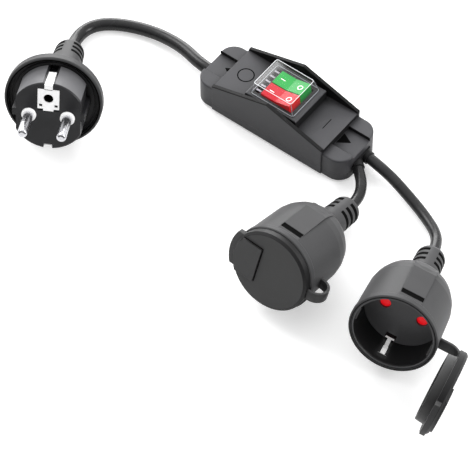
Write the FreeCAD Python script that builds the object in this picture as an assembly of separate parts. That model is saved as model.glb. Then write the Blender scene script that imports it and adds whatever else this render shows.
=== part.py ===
"""Splitter extension lead: an earthed plug, an in-line box with two rocker switches
under a clear weather cap, and two earthed in-line sockets with hinged lids.

The frame is the switch box's own: origin under the middle of the box, +X along the
box towards its two outlet cords, +Z up. Lengths are in millimetres and angles in
degrees. The plug and the sockets are modelled about their own axes (X right and Y up
as seen from the front, Z out of the face) and then laid on the floor by a placement.
"""
import FreeCAD
import Part
import math
import os

V = FreeCAD.Vector

# Box
BOX_LENGTH = 92.0
END_WIDTH = 30.6
END_CORNER = 8.0
END_TOP = 16.2
STRIP_WIDTH = 14.0
STRIP_DEPTH = 2.0
SADDLE_X = -0.5
SADDLE_HALF = 33.6
SADDLE_WIDTH = 32.0
SADDLE_TOP = 18.4
WING_PEAK = 29.9
WING_END = 0.9
WING_THICK = 1.6
BOX_WALL = 2.0
PARTING = 6.0
BASE_CHAMFER = 1.6
EDGE_ROUND = 0.8
CORD_HEIGHT = 6.8
SCREW_X = 38.5
SCREW_Y = 9.4
BOSS_RADIUS = 3.0
SCREW_SHANK = 1.45
SCREW_HEAD = 2.7
SCREW_HEAD_TALL = 1.8
SCREW_TOP = 11.0
FIT = 0.1
CLAMP_X = BOX_LENGTH / 2 - 14.0
CLAMP_SCREW_Y = 9.4
CLAMP_TALL = 4.6
BLOCK_SIDE = 6.9
BLOCK_RISE = 3.6
GROMMET_RADIUS = 4.3

# Twin switch and its weather cap
FRAME_LENGTH = 31.0
FRAME_WIDTH = 25.5
FRAME_TOP = 24.6
BODY_LENGTH = 28.0
BODY_WIDTH = 22.0
BODY_BOTTOM = 7.8
WELL_BOTTOM = 14.0
PIVOT_SHIFT = 0.8
PIVOT_HEIGHT = 21.0
ROCKER_HALF = 8.6
ROCKER_WIDTH = 8.6
ROCKER_SPLIT = 0.6
ROCKER_APEX = 4.6
ROCKER_VEE = 8.0
ROCKER_TILT = 8.0
ROCKER_GAP = 1.0
AXLE_RADIUS = 1.2
AXLE_RUNNING = 0.05
RIB_COUNT = 5
CAP_HEIGHT = 6.6
CAP_WALL = 0.7
CAP_FOOT_X = (-13.3, 12.7)
CAP_TOP_X = (-12.6, 10.3)
CAP_FOOT_Y = 11.2
CAP_TOP_Y = 9.6
BLADE = (0.8, 4.8, 5.0)
BLADE_PITCH = 8.0
BLADE_ROW = 5.2
WIRE_RADIUS = 0.8

# Plug
PIN_RADIUS = 2.4
PIN_LENGTH = 19.0
PIN_PITCH = 19.0
PIN_SHANK = 14.0
SHANK_RADIUS = 2.2
COLLAR_RADIUS = 3.6
COLLAR_TALL = 1.3
PLUG_RADIUS = 18.5
PLUG_FLAT = 15.9
PLUG_DEPTH = 17.5
EARTH_OFFSET = 10.0
EARTH_RADIUS = 2.45
EARTH_DEEP = 14.0
PLATE = (10.6, 11.9, 0.8)
CHANNEL_WIDTH = 4.4
CHANNEL_DEEP = 2.7
COLLAR_CUP = 24.4
CUP_WALL = 2.0
CUP_RIM = 3.0
CUP_FLOOR = 2.6
GRIP_WIDE = 13.4
GRIP_NARROW = 11.6
GRIP_END = 36.0
PLUG_RELIEF = (8.9, 7.3, 29.0)

# Sockets
RING_RADIUS = 21.5
BARREL_FRONT = 21.2
BARREL_REAR = 20.5
SHOULDER = 26.0
SOCKET_DEEP = 39.6
RECESS_RADIUS = 19.1
RECESS_DEPTH = 17.5
INSERT_WALL = 0.8
PLATE_THICK = 1.2
HOLE_RADIUS = 2.7
FACET_HEIGHT = 20.4
FACET_WIDTH = 11.7
SHUTTER_RADIUS = 13.0
SHUTTER_THICK = 1.5
SHUTTER_TURN = 36.0
SHUTTER_GAP = 0.2
CONTACT_RADIUS = 3.2
CONTACT_BORE = 2.35
BASE_REAR = 24.6
WAIST_RADIUS = 16.6
WAIST_REAR = 33.0
SPIGOT_RADIUS = 13.4
SPIGOT_REAR = 38.2
SOCKET_RELIEF = (7.8, 7.1, 24.4)
LID_RADIUS = 20.8
LID_THICK = 4.0
LID_GAP = 0.1
LID_PLUG = 16.9
LID_PLUG_DEEP = 4.4
LID_BEVEL = 1.1
PAD_RISE = 1.0
HINGE_OUT = 25.2
HINGE_BACK = 5.5
STRAP_WIDTH = 5.6
STRAP_THICK = 1.5
STRAP_BACK = 9.8
STRAP_FRONT = 1.4
RELIEF_BAND = 4.6

# Cords: radius, and the points that each route turns at
SUPPLY_RADIUS = 3.3
OUTLET_RADIUS = 2.8
SUPPLY_ROUTE = [(-116.3, -17.6, 3.7), (-113.2, -9.1, 3.6), (-105.3, -2.6, 3.6), (-94.5, 2.2, 3.7),
                (-82.0, 4.9, 4.2), (-67.6, 4.3, 5.4), (-BOX_LENGTH / 2 - 7.5, 0.0, CORD_HEIGHT)]
SUPPLY_TAIL = [(-BOX_LENGTH / 2 + 7.0, 0.0, CORD_HEIGHT), (-BOX_LENGTH / 2 + 16.4, 0.0, CORD_HEIGHT - 0.6)]
CORD_A_ROUTE = [(57.6, -15.9, 6.9)]
CORD_B_ROUTE = [(75.4, -2.2, 4.2), (88.4, -6.6, 3.1), (100.6, -13.4, 4.8)]
OUTLET_SLEEVE = 3.4
OUTLET_REACH = 3.0
CORD_SEAT = 3.0
OUTLET_APART = 3.5
OUTLET_TURNS = (38.0, 8.0)

# Where the plug and the sockets lie: x, y, yaw, tilt of the face, roll
PLUG_LIES = (-80.3, -85.8, 30.2, 19.9, 0.4)
SOCKET_A_LIES = (60.4, -90.9, 0.5, 16.5, 4.0)
SOCKET_B_LIES = (126.4, -87.3, 17.1, 16.2, 13.8)


def cylinder(radius, low, high, x=0.0, y=0.0):
    """A round bar along Z."""
    return Part.makeCylinder(radius, high - low, V(x, y, low))


def bar(start, end, radius):
    """A round bar from one point to another."""
    run = V(*end) - V(*start)
    return Part.makeCylinder(radius, run.Length, V(*start), run)


def slab(x, y, z):
    """A rectangular block from its low and high limits."""
    return Part.makeBox(x[1] - x[0], y[1] - y[0], z[1] - z[0], V(x[0], y[0], z[0]))


def turned(profile):
    """A solid turned about Z from a closed outline of (radius, height) points."""
    points = [V(radius, 0, height) for radius, height in profile]
    face = Part.Face(Part.makePolygon(points + [points[0]]))
    return face.revolve(V(0, 0, 0), V(0, 0, 1), 360)


def prism(points, axis, low, high):
    """A flat outline drawn out along one axis: X takes (y, z), Y takes (x, z), Z takes (x, y)."""
    places = {"X": lambda a, b: V(low, a, b), "Y": lambda a, b: V(a, low, b),
              "Z": lambda a, b: V(a, b, low)}
    along = {"X": V(high - low, 0, 0), "Y": V(0, high - low, 0), "Z": V(0, 0, high - low)}
    corners = [places[axis](a, b) for a, b in points]
    return Part.Face(Part.makePolygon(corners + [corners[0]])).extrude(along[axis])


def rounded_slab(length, width, corner, low, high):
    """An upright block, centred on Z, with round vertical corners."""
    block = slab((-length / 2, length / 2), (-width / 2, width / 2), (low, high))
    upright = [edge for edge in block.Edges if abs(edge.tangentAt(edge.FirstParameter).z) > 0.9]
    return block.makeFillet(corner, upright)


def edges_at(shape, height):
    """The edges that lie wholly at one height."""
    return [edge for edge in shape.Edges
            if all(abs(vertex.Z - height) < 1e-6 for vertex in edge.Vertexes)]


def mirrored(shape, normal):
    """The shape's mirror image in the plane through the origin."""
    return shape.mirror(V(0, 0, 0), normal)


def spun(shape, angle, centre=V(0, 0, 0), axis=V(0, 0, 1)):
    """A turned copy of the shape."""
    copy = shape.copy()
    copy.rotate(centre, axis, angle)
    return copy


def fused(shapes):
    """One solid from shapes that touch or overlap."""
    return shapes[0].multiFuse(shapes[1:]).removeSplitter()


def group(shapes):
    """Separate solids that share one node."""
    return Part.makeCompound(shapes)


def strip(points, thick, width):
    """A bent strip: (y, z) points along its middle, its width across X."""
    pieces = []
    for start, end in zip(points, points[1:]):
        run = V(0, end[0] - start[0], end[1] - start[1])
        side = run.cross(V(1, 0, 0)).normalize() * (thick / 2)
        corners = [V(0, *start) + side, V(0, *end) + side, V(0, *end) - side, V(0, *start) - side]
        pieces.append(prism([(c.y, c.z) for c in corners], "X", -width / 2, width / 2))
    for y, z in points[1:-1]:
        pieces.append(Part.makeCylinder(thick / 2, width, V(-width / 2, y, z), V(1, 0, 0)))
    return fused(pieces)


def lying(x, y, yaw, tilt, roll, profile):
    """The placement of a unit on the floor: it rests on the widest part of its profile."""
    lean = math.radians(tilt)
    height = max(radius * math.cos(lean) - along * math.sin(lean) for radius, along in profile)
    turn = FreeCAD.Rotation(V(0, 0, 1), yaw)
    turn = turn.multiply(FreeCAD.Rotation(V(1, 0, 0), -tilt))
    turn = turn.multiply(FreeCAD.Rotation(V(0, 1, 0), roll))
    turn = turn.multiply(FreeCAD.Rotation(V(1, 0, 0), 90))
    return FreeCAD.Placement(V(x, y, height), turn)


def moved(shape, placement):
    """A copy of the shape at the placement."""
    copy = shape.copy()
    copy.Placement = placement.multiply(copy.Placement)
    return copy


def cord_tube(name, points, radius):
    """A cord's tube: straight runs joined by tangent arcs. Prints its radii and its length."""
    corners = [V(*point) for point in points]
    edges = []
    radii = []
    length = 0.0
    at = corners[0]
    for before, corner, after in zip(corners, corners[1:], corners[2:]):
        run_in = corner - before
        run_out = after - corner
        turn = run_in.getAngle(run_out)
        cut = 0.45 * min(run_in.Length, run_out.Length)
        bend = cut / math.tan(turn / 2)
        unit_in = V(run_in).normalize()
        unit_out = V(run_out).normalize()
        start = corner - unit_in * cut
        end = corner + unit_out * cut
        inward = (unit_out - unit_in).normalize()
        centre = corner + inward * (bend / math.cos(turn / 2))
        middle = centre - inward * bend
        edges.append(Part.LineSegment(at, start).toShape())
        edges.append(Part.Arc(start, middle, end).toShape())
        length += (start - at).Length + bend * turn
        radii.append(round(bend, 1))
        at = end
    edges.append(Part.LineSegment(at, corners[-1]).toShape())
    length += (corners[-1] - at).Length
    path = Part.Wire(edges)
    outline = Part.Wire(Part.makeCircle(radius, corners[0], corners[1] - corners[0]))
    tube = path.makePipeShell([outline], True, False)
    share = tube.Volume / (math.pi * radius * radius * length)
    print(name, "length", round(length, 1), "radii", radii, "volume share", round(share, 4))
    return tube


def box_outline(low, high, inset):
    """The box's plan between two heights, drawn in by a wall's thickness."""
    ends = rounded_slab(BOX_LENGTH - 2 * inset, END_WIDTH - 2 * inset, END_CORNER - inset, low, high)
    half = SADDLE_HALF - inset
    side = SADDLE_WIDTH / 2 - inset
    saddle = slab((SADDLE_X - half, SADDLE_X + half), (-side, side), (low, high))
    return fused([ends, saddle])


def screw_places():
    """The four housing screws' places."""
    return [(x, y) for x in (-SCREW_X, SCREW_X) for y in (-SCREW_Y, SCREW_Y)]


def cord_passages():
    """The holes that both shells leave for the inlet grommet and the outlet block."""
    inlet = bar((-BOX_LENGTH / 2 - 4, 0, CORD_HEIGHT), (-BOX_LENGTH / 2 + 4, 0, CORD_HEIGHT), GROMMET_RADIUS + FIT)
    outlet = slab((BOX_LENGTH / 2 - 4, BOX_LENGTH / 2 + 4), (-BLOCK_SIDE - FIT, BLOCK_SIDE + FIT),
                  (CORD_HEIGHT - BLOCK_RISE - FIT, CORD_HEIGHT + BLOCK_RISE + FIT))
    sleeves = []
    for side in (-1, 1):
        root, end = outlet_start(side)
        sleeves.append(bar(tuple(root - (end - root)), tuple(end), OUTLET_RADIUS + 0.6 + FIT))
    return [inlet, outlet] + sleeves


def base_shell():
    """The lower half: floor, wall with a tongue into the upper half, and screw bosses."""
    outer = box_outline(0, PARTING, 0)
    outer = outer.makeChamfer(BASE_CHAMFER, edges_at(outer, 0))
    shell = outer.cut(box_outline(BOX_WALL, PARTING + 1, BOX_WALL))
    tongue = box_outline(PARTING - 1.5, PARTING + 1.5, BOX_WALL / 2 + FIT)
    tongue = tongue.cut(box_outline(PARTING - 2, PARTING + 2, BOX_WALL))
    shell = fused([shell, tongue])
    for x, y in screw_places():
        shell = shell.fuse(cylinder(BOSS_RADIUS + 1, BOX_WALL / 2, PARTING, x, y))
        shell = shell.cut(cylinder(SCREW_HEAD + FIT, -1, SCREW_HEAD_TALL + FIT, x, y))
        shell = shell.cut(cylinder(SCREW_SHANK + 2 * FIT, 0, PARTING + 2, x, y))
    for side in (-1, 1):
        across = CLAMP_SCREW_Y + 1.8
        rest = slab((side * CLAMP_X - 2, side * CLAMP_X + 2), (-across, across), (BOX_WALL / 2, CORD_HEIGHT))
        shell = shell.fuse(rest)
    shell = shell.cut(supply_seat())
    shell = shell.cut(slab((CLAMP_X - 3, CLAMP_X + 3), (-BLOCK_SIDE - FIT, BLOCK_SIDE + FIT),
                           (CORD_HEIGHT - BLOCK_RISE - FIT, PARTING + 2)))
    for hole in cord_passages() + clamp_holes():
        shell = shell.cut(hole)
    return shell.removeSplitter()


def supply_seat():
    """The round seat that the supply cord's end lies in between the rest and its clamp."""
    corner, end = [V(*point) for point in SUPPLY_TAIL]
    return bar(tuple(corner), tuple(end + (end - corner) * 0.3), SUPPLY_RADIUS + FIT / 2)


def clamp_holes():
    """The clamp screws' pilot holes in the base's rests."""
    return [cylinder(1.1 + FIT / 2, BOX_WALL + 0.6, CORD_HEIGHT + 1, x, y) for x, y in clamp_places()]


def clamp_places():
    """The four clamp screws' places."""
    return [(x, y) for x in (-CLAMP_X, CLAMP_X) for y in (-CLAMP_SCREW_Y, CLAMP_SCREW_Y)]


def wing():
    """One side wing: a thin plate that rises to a peak at the middle of the switch."""
    low = SADDLE_X - SADDLE_HALF
    high = SADDLE_X + SADDLE_HALF
    rise = SADDLE_TOP + WING_END
    points = [(low, PARTING + 4), (low, rise), (SADDLE_X, WING_PEAK), (high, rise), (high, PARTING + 4)]
    return prism(points, "Y", SADDLE_WIDTH / 2 - WING_THICK, SADDLE_WIDTH / 2)


def top_shell():
    """The upper half: low end blocks with a sunk strip, a raised saddle and two wings."""
    ends = rounded_slab(BOX_LENGTH, END_WIDTH, END_CORNER, PARTING, END_TOP)
    ends = ends.makeFillet(EDGE_ROUND, edges_at(ends, END_TOP))
    low = SADDLE_X - SADDLE_HALF
    high = SADDLE_X + SADDLE_HALF
    side = SADDLE_WIDTH / 2
    saddle = slab((low, high), (-side, side), (PARTING, SADDLE_TOP))
    for x in ((-BOX_LENGTH, low), (high, BOX_LENGTH)):
        ends = ends.cut(slab(x, (-STRIP_WIDTH / 2, STRIP_WIDTH / 2), (END_TOP - STRIP_DEPTH, END_TOP + 1)))
    shell = fused([ends, saddle, wing(), mirrored(wing(), V(0, 1, 0))])
    ceiling = END_TOP - STRIP_DEPTH - BOX_WALL
    shell = shell.cut(box_outline(PARTING - 1, ceiling, BOX_WALL))
    shell = shell.cut(box_outline(PARTING - 1, PARTING + 1.6, BOX_WALL / 2))
    room = slab((low + BOX_WALL, high - BOX_WALL), (BOX_WALL - side, side - BOX_WALL),
                (ceiling - 1, SADDLE_TOP - BOX_WALL))
    shell = shell.cut(room)
    for x, y in screw_places():
        boss = cylinder(BOSS_RADIUS, PARTING + FIT, ceiling + 0.5, x, y)
        shell = shell.fuse(boss)
        shell = shell.cut(cylinder(SCREW_SHANK + FIT / 2, PARTING - 1, SCREW_TOP + 0.4, x, y))
    window = slab((SADDLE_X - BODY_LENGTH / 2 - FIT, SADDLE_X + BODY_LENGTH / 2 + FIT),
                  (-BODY_WIDTH / 2 - FIT, BODY_WIDTH / 2 + FIT), (ceiling, SADDLE_TOP + 1))
    shell = shell.cut(window)
    for hole in cord_passages():
        shell = shell.cut(hole)
    return shell.removeSplitter()


def housing_screws():
    """Four screws from below that hold the two shells together."""
    screws = []
    for x, y in screw_places():
        head = cylinder(SCREW_HEAD, 0.1, SCREW_HEAD_TALL, x, y)
        screws.append(fused([head, cylinder(SCREW_SHANK, 1, SCREW_TOP, x, y)]))
    return group(screws)


def clamp_bar(x, seat):
    """A bridge that holds a cord's end down on the base's rest."""
    across = CLAMP_SCREW_Y + 1.8
    bridge = slab((x - 2, x + 2), (-across, across), (CORD_HEIGHT + FIT, CORD_HEIGHT + CLAMP_TALL))
    for hole_y in (-CLAMP_SCREW_Y, CLAMP_SCREW_Y):
        bridge = bridge.cut(cylinder(1.1 + FIT, CORD_HEIGHT - 1, CORD_HEIGHT + 6, x, hole_y))
    return bridge.cut(seat)


def clamp_screws():
    """Two screws for each clamp."""
    screws = []
    for x, y in clamp_places():
        top = CORD_HEIGHT + CLAMP_TALL
        head = cylinder(2.0, top + 0.02, top + 0.6, x, y)
        screws.append(fused([head, cylinder(1.1, BOX_WALL + 1.2, top + 0.3, x, y)]))
    return group(screws)


def inlet_grommet():
    """A rubber sleeve round the supply cord where it enters the box."""
    face = -BOX_LENGTH / 2
    sleeve = bar((face - 0.1, 0, CORD_HEIGHT), (face + 3.4, 0, CORD_HEIGHT), GROMMET_RADIUS)
    rim = bar((face - 1.2, 0, CORD_HEIGHT), (face - 0.05, 0, CORD_HEIGHT), GROMMET_RADIUS + 0.9)
    whole = fused([sleeve, rim])
    return whole.cut(bar((face - 3, 0, CORD_HEIGHT), (face + 5, 0, CORD_HEIGHT), SUPPLY_RADIUS + FIT / 2))


def outlet_start(side):
    """The root of an outlet sleeve and its end, where a cord starts: the near one turns further out."""
    angle = math.radians(OUTLET_TURNS[0] if side < 0 else OUTLET_TURNS[1])
    root = V(BOX_LENGTH / 2 + OUTLET_REACH - OUTLET_SLEEVE, side * OUTLET_APART, CORD_HEIGHT)
    return root, root + V(math.cos(angle), -math.sin(angle), 0) * OUTLET_SLEEVE


def outlet_block():
    """The moulded rubber block in which both outlet cords end, held by the box's wall and clamp."""
    wall = BOX_LENGTH / 2
    side_limits = (-BLOCK_SIDE, BLOCK_SIDE)
    heights = (CORD_HEIGHT - BLOCK_RISE, CORD_HEIGHT + BLOCK_RISE - 0.2)
    body = slab((CLAMP_X - 2, wall + 0.6), side_limits, heights)
    waist = slab((CLAMP_X + 3, wall - 3), side_limits, heights)
    core = slab((CLAMP_X + 2.9, wall - 2.9), (-BLOCK_SIDE + 1.8, BLOCK_SIDE - 1.8),
                (CORD_HEIGHT - BLOCK_RISE + 0.6, CORD_HEIGHT + BLOCK_RISE - 0.6))
    pieces = [body.cut(waist), core]
    bores = []
    for side in (-1, 1):
        root, end = outlet_start(side)
        out = (end - root).normalize()
        pieces.append(bar(tuple(root - (end - root) * 0.5), tuple(end), OUTLET_RADIUS + 0.6))
        bores.append(bar(tuple(end - out * CORD_SEAT), tuple(end + out), OUTLET_RADIUS + FIT / 2))
    return fused(pieces).cut(bores[0]).cut(bores[1])


def switch_body():
    """The switch's lower housing, which drops through the saddle's window."""
    x = (SADDLE_X - BODY_LENGTH / 2, SADDLE_X + BODY_LENGTH / 2)
    body = slab(x, (-BODY_WIDTH / 2, BODY_WIDTH / 2), (BODY_BOTTOM, SADDLE_TOP))
    pivot = SADDLE_X + PIVOT_SHIFT
    reach = ROCKER_HALF + ROCKER_GAP
    side = ROCKER_WIDTH + ROCKER_SPLIT
    return body.cut(slab((pivot - reach, pivot + reach), (-side, side), (WELL_BOTTOM, SADDLE_TOP + 1)))


def switch_frame():
    """The bezel on the saddle, with the rockers' window and a ribbed ledge at one end."""
    x = (SADDLE_X - FRAME_LENGTH / 2, SADDLE_X + FRAME_LENGTH / 2)
    frame = slab(x, (-FRAME_WIDTH / 2, FRAME_WIDTH / 2), (SADDLE_TOP, FRAME_TOP))
    frame = frame.makeFillet(EDGE_ROUND, edges_at(frame, FRAME_TOP))
    pivot = SADDLE_X + PIVOT_SHIFT
    reach = ROCKER_HALF + ROCKER_GAP
    side = ROCKER_WIDTH + ROCKER_SPLIT
    frame = frame.cut(slab((pivot - reach, pivot + reach), (-side, side), (SADDLE_TOP - 1, FRAME_TOP + 1)))
    ledge = (SADDLE_X + CAP_FOOT_X[0] + 1.0, pivot - reach - 0.6)
    frame = frame.cut(slab(ledge, (-side, side), (FRAME_TOP - 1.6, FRAME_TOP + 1)))
    pitch = 2 * side / RIB_COUNT
    for index in range(RIB_COUNT):
        middle = -side + pitch * (index + 0.5)
        frame = frame.fuse(slab(ledge, (middle - 0.5, middle + 0.5), (FRAME_TOP - 2, FRAME_TOP)))
    hole = bar((pivot, -11.6, PIVOT_HEIGHT), (pivot, 11.6, PIVOT_HEIGHT), AXLE_RADIUS + FIT / 2)
    return frame.cut(hole).removeSplitter()


def rocker(side):
    """One rocker of the twin switch, pressed at its low-X end."""
    rise = ROCKER_APEX + ROCKER_HALF * math.tan(math.radians(ROCKER_VEE))
    outline = [(-ROCKER_HALF, rise), (0, ROCKER_APEX), (ROCKER_HALF, rise), (ROCKER_HALF, -1.0),
               (3.2, -3.2), (-3.2, -3.2), (-ROCKER_HALF, -1.0)]
    low = ROCKER_SPLIT / 2
    body = prism(outline, "Y", low, low + ROCKER_WIDTH)
    body = body.cut(bar((0, -1, 0), (0, ROCKER_WIDTH + 3, 0), AXLE_RADIUS + AXLE_RUNNING))
    if side < 0:
        body = mirrored(body, V(0, 1, 0))
    body.rotate(V(0, 0, 0), V(0, 1, 0), -ROCKER_TILT)
    body.translate(V(SADDLE_X + PIVOT_SHIFT, 0, PIVOT_HEIGHT))
    return body


def rocker_axle():
    """The steel pin that both rockers turn on."""
    pivot = SADDLE_X + PIVOT_SHIFT
    return bar((pivot, -11.5, PIVOT_HEIGHT), (pivot, 11.5, PIVOT_HEIGHT), AXLE_RADIUS)


def blade_places():
    """The middles of the switch's six terminal blades."""
    return [(SADDLE_X + column * BLADE_PITCH, row * BLADE_ROW) for column in (-1, 0, 1) for row in (-1, 1)]


def switch_terminals():
    """Six blades under the switch."""
    thick, wide, tall = BLADE
    return group([slab((x - thick / 2, x + thick / 2), (y - wide / 2, y + wide / 2),
                       (BODY_BOTTOM - tall, BODY_BOTTOM)) for x, y in blade_places()])


def cap_frustum(inset, foot, top):
    """A tapered block with the cap's plan, drawn in by a wall's thickness."""
    wires = []
    for ends, side, height in ((CAP_FOOT_X, CAP_FOOT_Y, foot), (CAP_TOP_X, CAP_TOP_Y, top)):
        low = SADDLE_X + ends[0] + inset
        high = SADDLE_X + ends[1] - inset
        deep = side - inset
        corners = [V(low, -deep, height), V(high, -deep, height), V(high, deep, height), V(low, deep, height)]
        wires.append(Part.makePolygon(corners + [corners[0]]))
    return Part.makeLoft(wires, True, True)


def weather_cap():
    """The clear cap over both rockers."""
    foot = FRAME_TOP + 0.02
    top = foot + CAP_HEIGHT
    outer = cap_frustum(0, foot, top)
    return outer.cut(cap_frustum(CAP_WALL, foot - 0.01, top - CAP_WALL))


def wire_run(points):
    """One insulated wire along straight runs."""
    pieces = [bar(start, end, WIRE_RADIUS) for start, end in zip(points, points[1:])]
    pieces += [Part.makeSphere(WIRE_RADIUS, V(*point)) for point in points[1:-1]]
    return fused(pieces)


def wires():
    """The box's inner wires: live and neutral through the switch, earth straight past it."""
    x_in = SADDLE_X - BLADE_PITCH - BLADE[0] / 2 - 0.05
    x_out = SADDLE_X + BLADE_PITCH + BLADE[0] / 2 + 0.05
    low = BODY_BOTTOM - BLADE[2] + 1.6
    row = BLADE_ROW
    jacket = SUPPLY_TAIL[1][2]
    start = SUPPLY_TAIL[1][0] + 0.1
    stop = CLAMP_X - 2.05
    splice_low = x_out + 11.05
    splice_high = splice_low + 3.0
    live = []
    neutral = []
    for side, paths in ((1, live), (-1, neutral)):
        paths.append(wire_run([(start, side * 1.8, jacket), (start + 2, side * 1.8, jacket),
                               (x_in - 11, side * row, low), (x_in, side * row, low)]))
        paths.append(wire_run([(x_out, side * row, low), (x_out + 8, side * row, low),
                               (stop - 2, side * 4.6, CORD_HEIGHT), (stop, side * 4.6, CORD_HEIGHT)]))
    earth = [wire_run([(start, 0, jacket - 2.0), (start + 2, 0, jacket - 2.0), (x_in - 11, 0, low),
                       (splice_low - 0.05, 0, low)])]
    for side in (-1, 1):
        earth.append(wire_run([(splice_high + 0.05, side * 1.2, low), (splice_high + 2, side * 1.2, low),
                               (stop - 2, side * 1.2, CORD_HEIGHT - 1.4), (stop, side * 1.2, CORD_HEIGHT - 1.4)]))
    splice = slab((splice_low, splice_high), (-2.6, 2.6), (low - 2.1, low + 2.0))
    return {"wire_live": group(live), "wire_neutral": group(neutral), "wire_earth": group(earth),
            "earth_splice": splice}


def relief(radii, face, grooves, band, cord_radius):
    """A tapered bend relief behind a face, with grooves on both sides and a seat for its cord's end."""
    root, tip, length = radii
    end = face - length
    body = turned([(0, face), (root, face), (tip, end + 2.0), (tip - 0.6, end + 0.6), (tip - 2.0, end), (0, end)])
    for index in range(grooves):
        middle = end + 4.2 + index * 4.0
        groove = turned([(root - 2.2, middle - 0.7), (root + 2, middle - 0.7), (root + 2, middle + 0.7),
                         (root - 2.2, middle + 0.7)])
        groove = groove.cut(slab((-band / 2, band / 2), (-20, 20), (middle - 2, middle + 2)))
        body = body.cut(groove)
    return body.cut(cylinder(cord_radius + FIT / 2, end - 1, end + CORD_SEAT))


def plug_core():
    """The plug's hard front with its flats, channels, pin bores and earth recess."""
    depth = -PLUG_DEPTH - 2
    core = cylinder(PLUG_RADIUS, depth, 0)
    core = core.makeChamfer(0.6, edges_at(core, 0))
    core = core.common(slab((-PLUG_FLAT, PLUG_FLAT), (-30, 30), (depth, 1)))
    for side in (-1, 1):
        rib = slab((PLUG_FLAT - 1, PLUG_FLAT + 1.9), (-1.2, 2.6), (depth, -0.3))
        core = core.fuse(rib if side > 0 else mirrored(rib, V(1, 0, 0)))
        channel = (PLUG_RADIUS - CHANNEL_DEEP, PLUG_RADIUS + 3)
        rows = channel if side > 0 else (-channel[1], -channel[0])
        core = core.cut(slab((-CHANNEL_WIDTH / 2, CHANNEL_WIDTH / 2), rows, (depth - 1, 1)))
        core = core.cut(cylinder(SHANK_RADIUS + FIT / 2, -PIN_SHANK - FIT, 1, side * PIN_PITCH / 2, 0))
        core = core.cut(cylinder(COLLAR_RADIUS + FIT, -2.5, 1, side * PIN_PITCH / 2, 0))
    core = core.cut(cylinder(EARTH_RADIUS + 0.9, -EARTH_DEEP - FIT, 1, 0, EARTH_OFFSET))
    wide, tall, thick = PLATE
    low = EARTH_OFFSET - 6.9 - FIT
    core = core.cut(slab((-wide / 2 - FIT, wide / 2 + FIT), (low, low + tall + 2 * FIT), (-thick + 0.2, 1)))
    core = core.cut(slab((-CHANNEL_WIDTH / 2, CHANNEL_WIDTH / 2), (low + tall, 30), (-thick + 0.2, 1)))
    spigot = cylinder(GRIP_NARROW - 2.6, -GRIP_END + 4, depth)
    return fused([core, spigot])


def plug_body():
    """The rubber body: a cup round the plug's front, then a tapered grip."""
    rim = -PLUG_DEPTH + CUP_RIM
    floor = -PLUG_DEPTH
    back = floor - CUP_FLOOR
    inner = COLLAR_CUP - CUP_WALL
    outline = [(0, floor), (inner, floor), (inner, rim), (COLLAR_CUP - 0.6, rim), (COLLAR_CUP, rim - 0.6),
               (COLLAR_CUP, back + 1.2), (COLLAR_CUP - 1.2, back), (GRIP_WIDE + 1.5, back - 0.8),
               (GRIP_WIDE, back - 2.2), (GRIP_NARROW + 0.4, -GRIP_END + 1.0), (GRIP_NARROW - 0.6, -GRIP_END),
               (0, -GRIP_END)]
    body = turned(outline)
    groove = turned([(PLUG_RADIUS + 1.6, floor + 1), (PLUG_RADIUS + 2.6, floor + 1),
                     (PLUG_RADIUS + 2.6, floor - 0.6), (PLUG_RADIUS + 1.6, floor - 0.6)])
    body = body.cut(groove)
    seat = cylinder(PLUG_RADIUS + FIT, -PLUG_DEPTH - 2 - FIT, 0)
    seat = seat.common(slab((-PLUG_FLAT - FIT, PLUG_FLAT + FIT), (-30, 30), (-30, 1)))
    body = body.cut(seat)
    ribs = slab((-PLUG_FLAT - 1.9 - FIT, PLUG_FLAT + 1.9 + FIT), (-1.2 - FIT, 2.6 + FIT), (-PLUG_DEPTH - 2 - FIT, 0))
    body = body.cut(ribs)
    return body.cut(cylinder(GRIP_NARROW - 2.5, -GRIP_END + 3.9, 0))


def plug_pin(side):
    """A contact pin with a round nose and its shank in the plug's front."""
    x = side * PIN_PITCH / 2
    pin = cylinder(PIN_RADIUS, COLLAR_TALL, PIN_LENGTH, x, 0)
    nose = [edge for edge in pin.Edges if all(vertex.Z > PIN_LENGTH - 1e-6 for vertex in edge.Vertexes)]
    pin = pin.makeFillet(PIN_RADIUS * 0.6, nose)
    return pin.fuse(cylinder(SHANK_RADIUS, -PIN_SHANK, COLLAR_TALL, x, 0))


def pin_collar(side):
    """The insulating ring round a pin's foot."""
    x = side * PIN_PITCH / 2
    ring = cylinder(COLLAR_RADIUS, -2.4, COLLAR_TALL, x, 0)
    ring = ring.makeChamfer(0.5, edges_at(ring, COLLAR_TALL))
    return ring.cut(cylinder(SHANK_RADIUS + FIT / 2, -4, COLLAR_TALL + 1, x, 0))


def plug_earth_contact():
    """The face plate round the earth hole, with its strip over the edge into the upper channel."""
    wide, tall, thick = PLATE
    low = EARTH_OFFSET - 6.9
    base = -thick + 0.25
    plate = slab((-wide / 2, wide / 2), (low + 1.1, low + tall), (base, base + thick))
    tab = slab((-2.5, 2.5), (low, low + 2), (base, base + thick))
    top = PLUG_RADIUS - 0.9
    over = slab((-2.0, 2.0), (low + tall - 1, top), (base, base + thick))
    arm = slab((-2.0, 2.0), (top - thick, top), (-12.5, base + thick))
    plate = fused([plate, tab, over, arm])
    for side in (-1, 1):
        plate = plate.cut(slab((side * 3.8 - 0.85, side * 3.8 + 0.85), (low + 2.0, low + 3.7), (-3, 3)))
    return plate.cut(cylinder(EARTH_RADIUS, -4, 4, 0, EARTH_OFFSET))


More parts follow.
